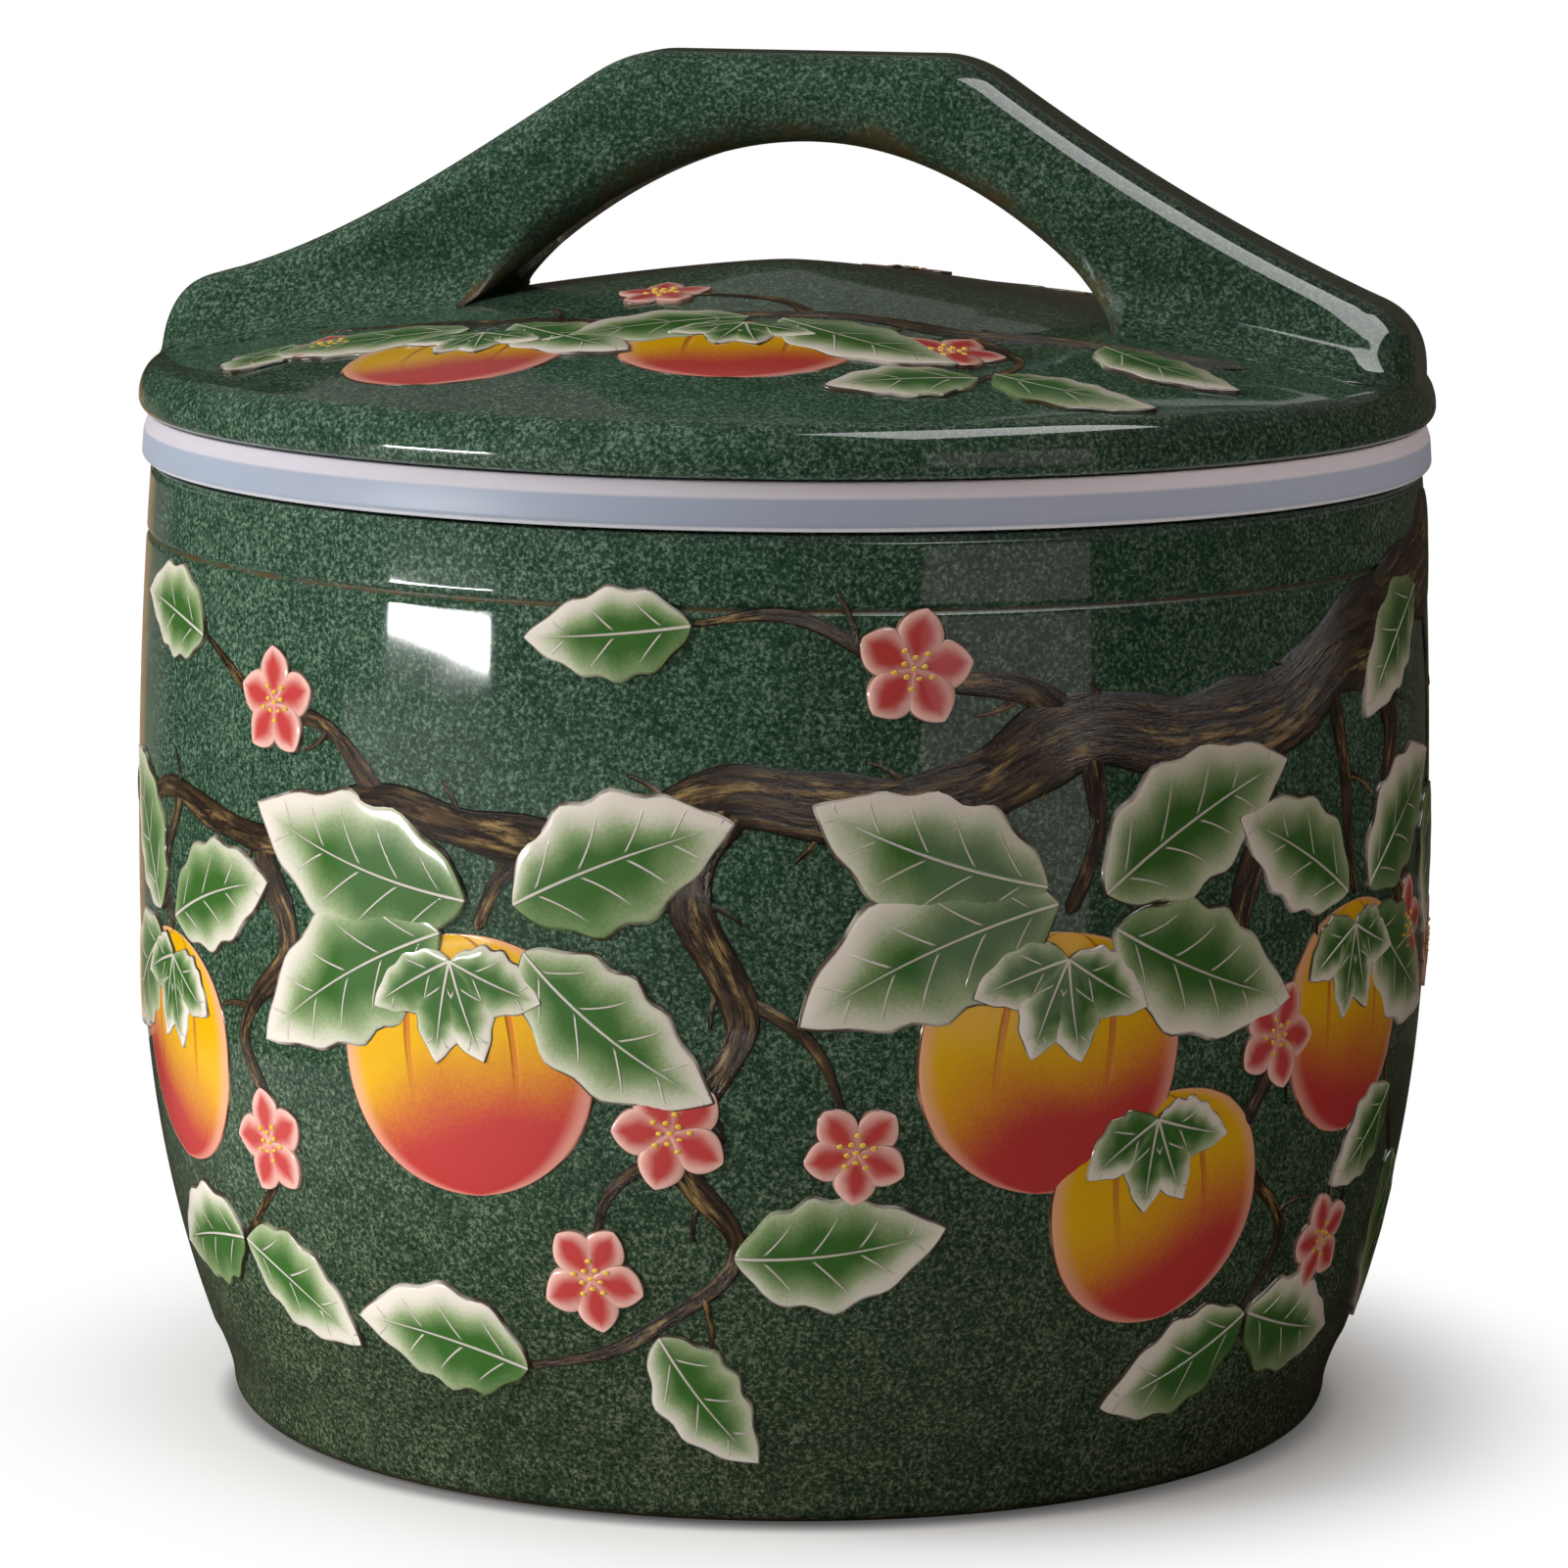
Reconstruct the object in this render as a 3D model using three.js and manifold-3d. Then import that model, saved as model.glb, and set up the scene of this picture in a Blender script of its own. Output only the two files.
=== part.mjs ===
// Ceramic rice canister: a glazed jar, a domed lid with a bridge handle luted across it, and a silicone ring
// that caps the jar's lip and grips the lid's flange.
// Millimetres, +Z up. The origin is the centre of the foot, on the ground, and the handle runs along X.
import * as THREE from "three";
import { mergeVertices } from "three/addons/utils/BufferGeometryUtils.js";
import Module from "manifold-3d";

// Jar: outside wall, from the ground up
const FOOT_RADIUS = 102.4; // the foot band, just above its rounded lower edge
const FOOT_ROUND = 4.5;
const FOOT_HEIGHT = 11;
const FOOT_FLARE = 1.6; // how much wider the foot band is at its top
const FOOT_RING = 8; // width of the unglazed ring that stands on the ground
const FOOT_RECESS = 3; // how far the middle of the underside is lifted off the ground
const WAIST_RADIUS = 106.6; // where the belly springs from the foot
const WAIST_HEIGHT = 16.5;
const BELLY_RADIUS = 119.6; // the widest place of the wall
const BELLY_HEIGHT = 106;
const BELLY_FULLNESS = 2.5; // power of the belly's curve below its widest place
const NECK_RADIUS = 117; // the wall at the ledge under the seal
const LEDGE_HEIGHT = 175.4;
const SCORE_HEIGHT = 162.7; // the scored line round the shoulder
const SCORE_WIDTH = 1.8;
const SCORE_DEPTH = 0.7;

// Jar: lip and inside
const LIP_SETBACK = 2.5; // the lip stands this far inside the neck, to make room for the seal's skirt
const LIP_HEIGHT = 4.2;
const LIP_THICKNESS = 8.2;
const LIP_ROUND = 2;
const MOUTH_DEPTH = 17; // straight bore below the rim, where the seal's fins press
const MOUTH_FLARE = 10; // height over which the bore opens out to the belly
const WALL = 8;
const FLOOR = 9;
const FLOOR_FILLET = 22;

// Fits
const SEAT_GAP = 0.3; // between faces that rest on each other
const SIDE_GAP = 0.3; // between sleeves that slide inside each other
const LUTE_GAP = 0.3; // the slip line between handle and lid

// Seal
const SEAL_WEB = 4.6; // thickness between the rim and the lid
const SEAL_PROUD = 1.6; // how far the skirt stands out past the neck
const SEAL_SHOULDER = 2.8; // height of the bevel under the lid
const SEAL_BEVEL = 1.3; // how far that bevel leans in
const SEAL_ROUND = 1.6; // lower edge of the skirt
const SEAL_LEG = 2.2; // thickness of the sleeve round the lid's flange
const SEAL_LEG_DEPTH = 12;
const FIN_COUNT = 2;
const FIN_PITCH = 4.5;
const FIN_ROOT = 2; // height of a fin where it leaves the sleeve

// Lid
const LID_OVERHANG = 2.2; // how far its edge stands out past the jar's neck
const LID_EDGE_LOW = 2.8; // the rounded edge below its widest place
const LID_EDGE_HIGH = 6.6; // and above it
const LID_EDGE_DEPTH = 4.5;
const DOME_RISE = 18.3; // from the rounded edge to the crown
const DOME_PEAK = 1.25; // power of the dome's curve: 1 is a cone, 2 a bowl
const LID_WALL = 7;
const FLANGE_WALL = 6;
const FLANGE_DEPTH = 13;

// Handle
const HANDLE_SETBACK = 2; // its ends stop this far inside the lid's edge
const HANDLE_RISE = 38; // its top above the crown of the lid
const HANDLE_FLAT = 25; // half the length of its flat top
const HANDLE_KNEE = 13; // length along the slope that the rounded corner takes
const HANDLE_SLOPE = 34; // degrees, of the upper edge below that corner
const HANDLE_RIGHT_SLOPE = 23; // degrees, of the upper edge as it reaches the end at +X
const HANDLE_LEFT_SLOPE = 14; // and the end at -X, which dips lower in this hand-formed piece
const HANDLE_END_HEIGHT = 13.6; // from the lid's edge to where the end's rounding starts
const HANDLE_NOSE = 9; // length of that rounding
const HANDLE_LEAN = 2.8; // the hand-set arch leans this far along X at its top
const HANDLE_THICKNESS = 29; // at the lid
const HANDLE_TOP_THICKNESS = 25;
const HANDLE_ROUND = 6.5; // along its long edges
const FINGER_CLEARANCE = 22; // from the crown of the lid to the underside of the arch
const ARCH_RADIUS = 58; // of the arch's curve at its highest place
const ARCH_SHIFT = 3.3; // the finger opening is a little off the middle

// Facets
const SIDES = 64; // round a turned piece
const CURVE_STEPS = 4; // along a small rounding
const BELLY_STEPS = 12;
const DOME_STEPS = 7;
const ARCH_STEPS = 18;

const GLAZE = { color: 0x33563f, roughness: 0.18, metalness: 0 };
const SILICONE = { color: 0xd5d8e0, roughness: 0.45, metalness: 0 };

const wasm = await Module();
wasm.setup();

const RIM_HEIGHT = LEDGE_HEIGHT + LIP_HEIGHT;
const LIP_RADIUS = NECK_RADIUS - LIP_SETBACK;
const MOUTH_RADIUS = LIP_RADIUS - LIP_THICKNESS;
const SEAL_SEAT = RIM_HEIGHT + SEAT_GAP;
const LID_SEAT = SEAL_SEAT + SEAL_WEB + SEAT_GAP;
const FIN_RADIUS = MOUTH_RADIUS - SIDE_GAP;
const LEG_OUTSIDE = FIN_RADIUS - SEAL_LEG;
const LEG_INSIDE = LEG_OUTSIDE - SEAL_LEG;
const FLANGE_RADIUS = LEG_INSIDE - SIDE_GAP;
const LID_RADIUS = NECK_RADIUS + LID_OVERHANG;
const DOME_RADIUS = LID_RADIUS - LID_EDGE_DEPTH;
const DOME_FOOT = LID_EDGE_LOW + LID_EDGE_HIGH;
const CROWN = DOME_FOOT + DOME_RISE;

const point = (radius, height) => new THREE.Vector2(radius, height);

// Points of a quarter or part of an ellipse, by its centre, half axes and two angles in degrees.
function rounding(radius, height, halfWidth, halfHeight, from, to) {
  const [start, end] = [from, to].map(THREE.MathUtils.degToRad);
  const curve = new THREE.EllipseCurve(radius, height, halfWidth, halfHeight, start, end, to < from);
  return curve.getPoints(CURVE_STEPS);
}

// Evenly spaced values from start to end, both included.
function spread(start, end, steps) {
  return Array.from({ length: steps + 1 }, (_, i) => THREE.MathUtils.lerp(start, end, i / steps));
}

// A turned piece, from a profile of (radius, height) points that runs up its outside.
function turned(profile) {
  return new THREE.LatheGeometry(profile, SIDES).rotateX(Math.PI / 2);
}

function solidOf(geometry) {
  const bare = geometry.clone();
  bare.deleteAttribute("normal");
  bare.deleteAttribute("uv");
  const merged = mergeVertices(bare, 1e-3);
  const mesh = new wasm.Mesh({
    numProp: 3,
    vertProperties: merged.attributes.position.array,
    triVerts: new Uint32Array(merged.index.array),
  });
  return new wasm.Manifold(mesh);
}

function geometryOf(solid) {
  const mesh = solid.getMesh();
  const geometry = new THREE.BufferGeometry();
  geometry.setAttribute("position", new THREE.BufferAttribute(mesh.vertProperties, mesh.numProp));
  geometry.setIndex(new THREE.BufferAttribute(mesh.triVerts, 1));
  geometry.computeVertexNormals();
  return geometry;
}

function piece(name, geometry, finish) {
  const mesh = new THREE.Mesh(geometry, new THREE.MeshStandardMaterial(finish));
  mesh.name = name;
  return mesh;
}

// The belly's radius at a height: it falls away from its widest place by a square up to the neck,
// and by a higher power down to the waist.
function bellyRadius(height) {
  if (height > BELLY_HEIGHT) {
    const up = (height - BELLY_HEIGHT) / (LEDGE_HEIGHT - BELLY_HEIGHT);
    return BELLY_RADIUS - (BELLY_RADIUS - NECK_RADIUS) * up ** 2;
  }
  const down = (BELLY_HEIGHT - height) / (BELLY_HEIGHT - WAIST_HEIGHT);
  return BELLY_RADIUS - (BELLY_RADIUS - WAIST_RADIUS) * down ** BELLY_FULLNESS;
}

function wallPoints(heights, inset) {
  return heights.map((height) => point(bellyRadius(height) - inset, height));
}

function jarBody() {
  const ringOutside = FOOT_RADIUS - FOOT_ROUND;
  const ringInside = ringOutside - FOOT_RING;
  const scoreLow = SCORE_HEIGHT - SCORE_WIDTH / 2;
  const scoreHigh = SCORE_HEIGHT + SCORE_WIDTH / 2;
  const floorTop = FOOT_RECESS + FLOOR;
  const filletTop = floorTop + FLOOR_FILLET;
  const mouthLow = RIM_HEIGHT - MOUTH_DEPTH;
  const wallTop = mouthLow - MOUTH_FLARE;
  const wallFoot = bellyRadius(filletTop) - WALL;
  const floorEdge = wallFoot - FLOOR_FILLET;
  const fillet = new THREE.QuadraticBezierCurve(
    point(wallFoot, filletTop),
    point(bellyRadius(WAIST_HEIGHT) - WALL, floorTop),
    point(floorEdge, floorTop),
  );
  return turned([
    point(0, FOOT_RECESS),
    point(ringInside - FOOT_RECESS, FOOT_RECESS),
    point(ringInside, 0),
    ...rounding(ringOutside, FOOT_ROUND, FOOT_ROUND, FOOT_ROUND, -90, 0),
    point(FOOT_RADIUS + FOOT_FLARE, FOOT_HEIGHT),
    ...wallPoints(spread(WAIST_HEIGHT, scoreLow, BELLY_STEPS), 0),
    ...wallPoints([SCORE_HEIGHT], SCORE_DEPTH),
    ...wallPoints([scoreHigh, LEDGE_HEIGHT], 0),
    point(LIP_RADIUS, LEDGE_HEIGHT),
    ...rounding(LIP_RADIUS - LIP_ROUND, RIM_HEIGHT - LIP_ROUND, LIP_ROUND, LIP_ROUND, 0, 90),
    ...rounding(MOUTH_RADIUS + LIP_ROUND, RIM_HEIGHT - LIP_ROUND, LIP_ROUND, LIP_ROUND, 90, 180),
    point(MOUTH_RADIUS, mouthLow),
    ...wallPoints(spread(wallTop, filletTop, BELLY_STEPS / 2), WALL).slice(0, -1),
    ...fillet.getPoints(CURVE_STEPS),
    point(0, floorTop),
  ]);
}

// The ring's section, with height 0 on the underside of its web: a bevelled skirt outside the lip, the web over
// the rim, and a finned sleeve inside the mouth.
function sealRing() {
  const skirtOutside = NECK_RADIUS + SEAL_PROUD;
  const skirtInside = LIP_RADIUS + SIDE_GAP;
  const skirtLow = SEAT_GAP - LIP_HEIGHT;
  const legLow = SEAL_WEB - SEAL_LEG_DEPTH;
  const fins = spread(1, FIN_COUNT, FIN_COUNT - 1).flatMap((count) => {
    const root = -count * FIN_PITCH;
    const tip = root - FIN_ROOT / 2;
    return [
      point(LEG_OUTSIDE, root + FIN_ROOT),
      point(FIN_RADIUS, tip + FIN_ROOT / 4),
      point(FIN_RADIUS, tip),
      point(LEG_OUTSIDE, root),
    ];
  });
  return turned([
    point(LEG_INSIDE, legLow),
    point(LEG_OUTSIDE, legLow),
    ...fins.reverse(),
    point(LEG_OUTSIDE, 0),
    point(skirtInside, 0),
    point(skirtInside, skirtLow),
    ...rounding(skirtOutside - SEAL_ROUND, skirtLow + SEAL_ROUND, SEAL_ROUND, SEAL_ROUND, -90, 0),
    point(skirtOutside - SEAL_BEVEL / 4, SEAL_WEB - SEAL_SHOULDER),
    point(skirtOutside - SEAL_BEVEL, SEAL_WEB),
    point(LEG_INSIDE, SEAL_WEB),
    point(LEG_INSIDE, legLow),
  ]);
}

// The dome's height above the lid's underside, at a distance from the axis.
function domeHeight(radius) {
  return CROWN - DOME_RISE * (radius / DOME_RADIUS) ** DOME_PEAK;
}

function domePoints(radii, lift) {
  return radii.map((radius) => point(radius, domeHeight(radius) + lift));
}

// The lid, with height 0 on the underside of its rounded edge.
function lidShell() {
  const flangeInside = FLANGE_RADIUS - FLANGE_WALL;
  const edge = [DOME_RADIUS, LID_EDGE_LOW, LID_EDGE_DEPTH];
  return turned([
    ...domePoints(spread(0, flangeInside, DOME_STEPS), -LID_WALL),
    point(flangeInside, -FLANGE_DEPTH),
    point(FLANGE_RADIUS, -FLANGE_DEPTH),
    point(FLANGE_RADIUS, 0),
    ...rounding(...edge, LID_EDGE_LOW, -90, 0),
    ...rounding(...edge, LID_EDGE_HIGH, 0, 90).slice(1),
    ...domePoints(spread(DOME_RADIUS, 0, DOME_STEPS).slice(1), 0),
  ]);
}

// Half of the handle's upper edge, from its flat top over the corner and down the slope to a rounded end.
function upperEdge(endSlope, buried) {
  const top = CROWN + HANDLE_RISE;
  const end = LID_RADIUS - HANDLE_SETBACK;
  const steep = Math.tan(THREE.MathUtils.degToRad(HANDLE_SLOPE));
  const shallow = Math.tan(THREE.MathUtils.degToRad(endSlope));
  const kneeStart = HANDLE_FLAT + HANDLE_KNEE / 2;
  const kneeEnd = HANDLE_FLAT + HANDLE_KNEE;
  const kneeLow = top - (kneeEnd - kneeStart) * steep;
  const noseStart = end - HANDLE_NOSE;
  const noseTop = DOME_FOOT + HANDLE_END_HEIGHT;
  const reach = (noseStart - kneeEnd) / 3;
  const edge = new THREE.Path();
  edge.moveTo(HANDLE_FLAT, top);
  edge.quadraticCurveTo(kneeStart, top, kneeEnd, kneeLow);
  edge.bezierCurveTo(
    kneeEnd + reach,
    kneeLow - reach * steep,
    noseStart - reach,
    noseTop + reach * shallow,
    noseStart,
    noseTop,
  );
  edge.quadraticCurveTo(end, noseTop - HANDLE_NOSE * shallow, end, DOME_FOOT);
  edge.lineTo(end, buried);
  return edge.getPoints(CURVE_STEPS);
}

// The handle's outline: its upper edge, and the arch below, a parabola. Its feet reach below the dome.
function handleOutline() {
  const crown = CROWN + FINGER_CLEARANCE;
  const buried = 0;
  const right = upperEdge(HANDLE_RIGHT_SLOPE, buried);
  const left = upperEdge(HANDLE_LEFT_SLOPE, buried).map(({ x, y }) => point(-x, y)).reverse();
  const archHalf = Math.sqrt(2 * ARCH_RADIUS * (crown - buried));
  const arch = new THREE.QuadraticBezierCurve(
    point(ARCH_SHIFT + archHalf, buried),
    point(ARCH_SHIFT, 2 * crown - buried),
    point(ARCH_SHIFT - archHalf, buried),
  );
  return [...right, ...arch.getPoints(ARCH_STEPS), ...left];
}

// The handle: its outline carried across the lid with rounded long edges, drawn in and leaned over towards the top,
// and cut to sit on the dome.
function bridgeHandle() {
  const depth = HANDLE_THICKNESS - 2 * HANDLE_ROUND;
  const slab = new THREE.ExtrudeGeometry(new THREE.Shape(handleOutline()), {
    depth,
    steps: 1,
    bevelThickness: HANDLE_ROUND,
    bevelSize: HANDLE_ROUND,
    bevelOffset: -HANDLE_ROUND,
    bevelSegments: CURVE_STEPS,
  });
  slab.translate(0, 0, -depth / 2).rotateX(Math.PI / 2);
  const places = slab.attributes.position;
  for (let i = 0; i < places.count; i++) {
    const rise = THREE.MathUtils.clamp((places.getZ(i) - DOME_FOOT) / (CROWN + HANDLE_RISE - DOME_FOOT), 0, 1);
    places.setX(i, places.getX(i) + HANDLE_LEAN * rise);
    places.setY(i, places.getY(i) * THREE.MathUtils.lerp(1, HANDLE_TOP_THICKNESS / HANDLE_THICKNESS, rise));
  }
  const under = -HANDLE_THICKNESS;
  const dome = turned([
    point(0, under),
    point(LID_RADIUS * 2, under),
    point(LID_RADIUS * 2, DOME_FOOT + LUTE_GAP),
    ...domePoints(spread(DOME_RADIUS, 0, DOME_STEPS), LUTE_GAP),
  ]);
  return geometryOf(solidOf(slab).subtract(solidOf(dome)));
}

const canister = new THREE.Group();
canister.add(piece("jar_body", jarBody(), GLAZE));

const seal = piece("seal_ring", sealRing(), SILICONE);
seal.position.z = SEAL_SEAT;
canister.add(seal);

const lid = new THREE.Group();
lid.position.z = LID_SEAT;
lid.add(piece("lid_shell", lidShell(), GLAZE), piece("lid_handle", bridgeHandle(), GLAZE));
canister.add(lid);

export default canister;
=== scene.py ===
"""Looks of a ceramic rice canister: speckled glaze, a silicone ring and a fruit branch in raised enamel.

Laid out as a Blender add-on and run as a script. Lengths are in metres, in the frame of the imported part: the origin
is the centre of the foot, Z is up and the lid's handle runs along X.
"""

import math

import bpy
import numpy as np
from mathutils import Euler, Matrix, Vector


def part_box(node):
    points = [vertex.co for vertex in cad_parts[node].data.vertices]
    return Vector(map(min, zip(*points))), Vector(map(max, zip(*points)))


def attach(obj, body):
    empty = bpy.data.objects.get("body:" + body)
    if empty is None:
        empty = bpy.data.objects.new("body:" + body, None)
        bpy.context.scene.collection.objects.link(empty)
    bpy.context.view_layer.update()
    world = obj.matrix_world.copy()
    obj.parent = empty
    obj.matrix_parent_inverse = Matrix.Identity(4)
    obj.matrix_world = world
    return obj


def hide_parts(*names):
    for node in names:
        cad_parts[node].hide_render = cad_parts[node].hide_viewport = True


bl_info = {
    "name": "Rice canister looks",
    "version": (1, 0, 0),
    "blender": (4, 5, 0),
    "location": "View3D > Sidebar > Canister",
    "description": "Dresses the packed rice canister in glaze, silicone and enamel",
    "category": "Add Mesh",
}

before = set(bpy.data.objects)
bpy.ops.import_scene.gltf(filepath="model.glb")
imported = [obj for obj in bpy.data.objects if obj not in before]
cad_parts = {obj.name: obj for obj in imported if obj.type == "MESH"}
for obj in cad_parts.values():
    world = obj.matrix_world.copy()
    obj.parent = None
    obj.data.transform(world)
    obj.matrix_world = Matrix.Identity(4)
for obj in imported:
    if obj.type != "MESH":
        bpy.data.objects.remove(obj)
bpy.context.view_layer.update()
JAR_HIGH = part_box("jar_body")[1]
SEAL_LOW, SEAL_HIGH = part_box("seal_ring")
LID_LOW, LID_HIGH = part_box("lid_shell")
HANDLE_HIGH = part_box("lid_handle")[1]

MM = 0.001
TURNED_SIDES = 240  # faces round a turned piece


def srgb(red, green, blue):
    """A colour of 0 to 255 steps as the linear values that shaders take."""
    steps = np.array([red, green, blue]) / 255
    return tuple(np.where(steps <= 0.04045, steps / 12.92, ((steps + 0.055) / 1.055) ** 2.4))


def length(name, default, description):
    return bpy.props.FloatProperty(
        name=name, description=description, default=default, unit="LENGTH", precision=4
    )


def number(name, default, description):
    return bpy.props.FloatProperty(name=name, description=description, default=default)


def degrees(name, default, description):
    return bpy.props.FloatProperty(
        name=name, description=description, default=math.radians(default), subtype="ANGLE"
    )


def colour(name, default, description):
    return bpy.props.FloatVectorProperty(
        name=name, description=description, default=default, size=3, min=0, max=1, subtype="COLOR"
    )


class JarSizes(bpy.types.PropertyGroup):
    """Sizes of the jar, from the ground up and then inside."""

    foot_radius: length("Foot radius", 102.4 * MM, "Foot band above its rounded lower edge")
    foot_round: length("Foot rounding", 4.5 * MM, "Radius of the foot's lower edge")
    foot_height: length("Foot height", 11 * MM, "Top of the foot band")
    foot_flare: length("Foot flare", 1.6 * MM, "How much wider the foot band is at its top")
    foot_ring: length("Foot ring", 8 * MM, "Width of the unglazed ring on the ground")
    foot_recess: length("Foot recess", 3 * MM, "Lift of the middle of the underside")
    waist_radius: length("Waist radius", 106.6 * MM, "Where the belly springs from the foot")
    waist_height: length("Waist height", 16.5 * MM, "Height of the waist")
    belly_radius: length("Belly radius", JAR_HIGH.x, "Widest place of the wall")
    belly_height: length("Belly height", 106 * MM, "Height of the widest place")
    belly_fullness: number("Belly fullness", 2.5, "Power of the belly's curve below its widest place")
    neck_radius: length("Neck radius", 117 * MM, "Wall at the ledge under the seal")
    ledge_height: length("Ledge height", 175.4 * MM, "Ledge that the seal's skirt stands over")
    score_height: length("Score height", 162.7 * MM, "Scored line round the shoulder")
    score_width: length("Score width", 1.8 * MM, "Width of the scored line")
    score_depth: length("Score depth", 0.7 * MM, "Depth of the scored line")
    rim_height: length("Rim height", JAR_HIGH.z, "Top of the lip")
    lip_setback: length("Lip setback", 2.5 * MM, "Step from the neck in to the lip")
    lip_thickness: length("Lip thickness", 8.2 * MM, "Thickness of the lip")
    lip_round: length("Lip rounding", 2 * MM, "Rounding of the lip's edges")
    mouth_depth: length("Mouth depth", 17 * MM, "Straight bore below the rim")
    mouth_flare: length("Mouth flare", 10 * MM, "Height over which the bore opens to the belly")
    wall: length("Wall", 8 * MM, "Thickness of the belly's wall")
    floor: length("Floor", 9 * MM, "Thickness of the floor")
    floor_fillet: length("Floor fillet", 22 * MM, "Rounding between floor and wall, inside")


class SealSizes(bpy.types.PropertyGroup):
    """Sizes of the silicone ring's section."""

    skirt_radius: length("Skirt radius", SEAL_HIGH.x, "Outside of the ring")
    top: length("Top", SEAL_HIGH.z, "Face under the lid")
    bottom: length("Bottom", SEAL_LOW.z, "Lower end of the inner sleeve")
    web: length("Web", 4.6 * MM, "Thickness over the jar's rim")
    skirt_depth: length("Skirt depth", 8.5 * MM, "From the top to the skirt's lower edge")
    skirt_inside: length("Skirt inside", 114.8 * MM, "Inner face of the skirt")
    shoulder: length("Shoulder", 2.8 * MM, "Height of the bevel under the lid")
    bevel: length("Bevel", 1.3 * MM, "How far the bevel leans in")
    lower_round: length("Lower rounding", 1.6 * MM, "Lower edge of the skirt")
    sleeve_outside: length("Sleeve outside", 103.8 * MM, "Outer face of the inner sleeve")
    sleeve_inside: length("Sleeve inside", 101.6 * MM, "Face against the lid's flange")
    fin_reach: length("Fin reach", 2.2 * MM, "How far a fin stands out of the sleeve")
    fin_pitch: length("Fin pitch", 4.5 * MM, "Distance between the fins")
    fin_root: length("Fin root", 2 * MM, "Height of a fin at the sleeve")


class LidSizes(bpy.types.PropertyGroup):
    """Sizes of the domed lid."""

    radius: length("Radius", LID_HIGH.x, "Widest place of the lid's edge")
    crown: length("Crown", LID_HIGH.z, "Highest place of the dome")
    flange_foot: length("Flange foot", LID_LOW.z, "Lower end of the flange")
    flange_depth: length("Flange depth", 13 * MM, "Flange below the lid's underside")
    flange_radius: length("Flange radius", 101.3 * MM, "Outside of the flange")
    flange_wall: length("Flange wall", 6 * MM, "Thickness of the flange")
    edge_low: length("Edge below", 2.8 * MM, "Rounded edge below its widest place")
    edge_high: length("Edge above", 6.6 * MM, "Rounded edge above its widest place")
    edge_depth: length("Edge depth", 4.5 * MM, "Depth of the rounded edge above its widest place")
    edge_turn: length("Edge turn", 2.4 * MM, "Depth of the rounded edge below its widest place")
    dome_peak: number("Dome peak", 1.25, "Power of the dome's curve: 1 is a cone, 2 a bowl")
    wall: length("Wall", 7 * MM, "Thickness of the dome")


class HandleSizes(bpy.types.PropertyGroup):
    """Sizes of the bridge handle."""

    top: length("Top", HANDLE_HIGH.z, "Flat top of the handle")
    setback: length("Setback", 2 * MM, "Its ends stop this far inside the lid's edge")
    flat: length("Flat", 25 * MM, "Half the length of the flat top")
    knee: length("Knee", 13 * MM, "Length of the rounded corner beside the flat")
    slope: degrees("Slope", 34, "Upper edge below the corner")
    right_slope: degrees("Right slope", 23, "Upper edge as it reaches the end at +X")
    left_slope: degrees("Left slope", 14, "Upper edge as it reaches the end at -X, which dips lower")
    end_height: length("End height", 13.6 * MM, "From the lid's edge to the end's rounding")
    nose: length("Nose", 9 * MM, "Length of the end's rounding")
    lean: length("Lean", 2.8 * MM, "How far the hand-set arch leans along X at its top")
    thickness: length("Thickness", 29 * MM, "Thickness at the lid")
    top_thickness: length("Top thickness", 25 * MM, "Thickness at the top")
    rounding: length("Rounding", 7.5 * MM, "Rounding of the long edges")
    finger_clearance: length("Finger clearance", 22 * MM, "From the dome's crown to the arch")
    arch_radius: length("Arch radius", 58 * MM, "Radius of the arch at its highest place")
    arch_shift: length("Arch shift", 3.3 * MM, "How far the opening is off the middle")
    fillet: length("Fillet", 11 * MM, "Slip fillet along the dome")


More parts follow.
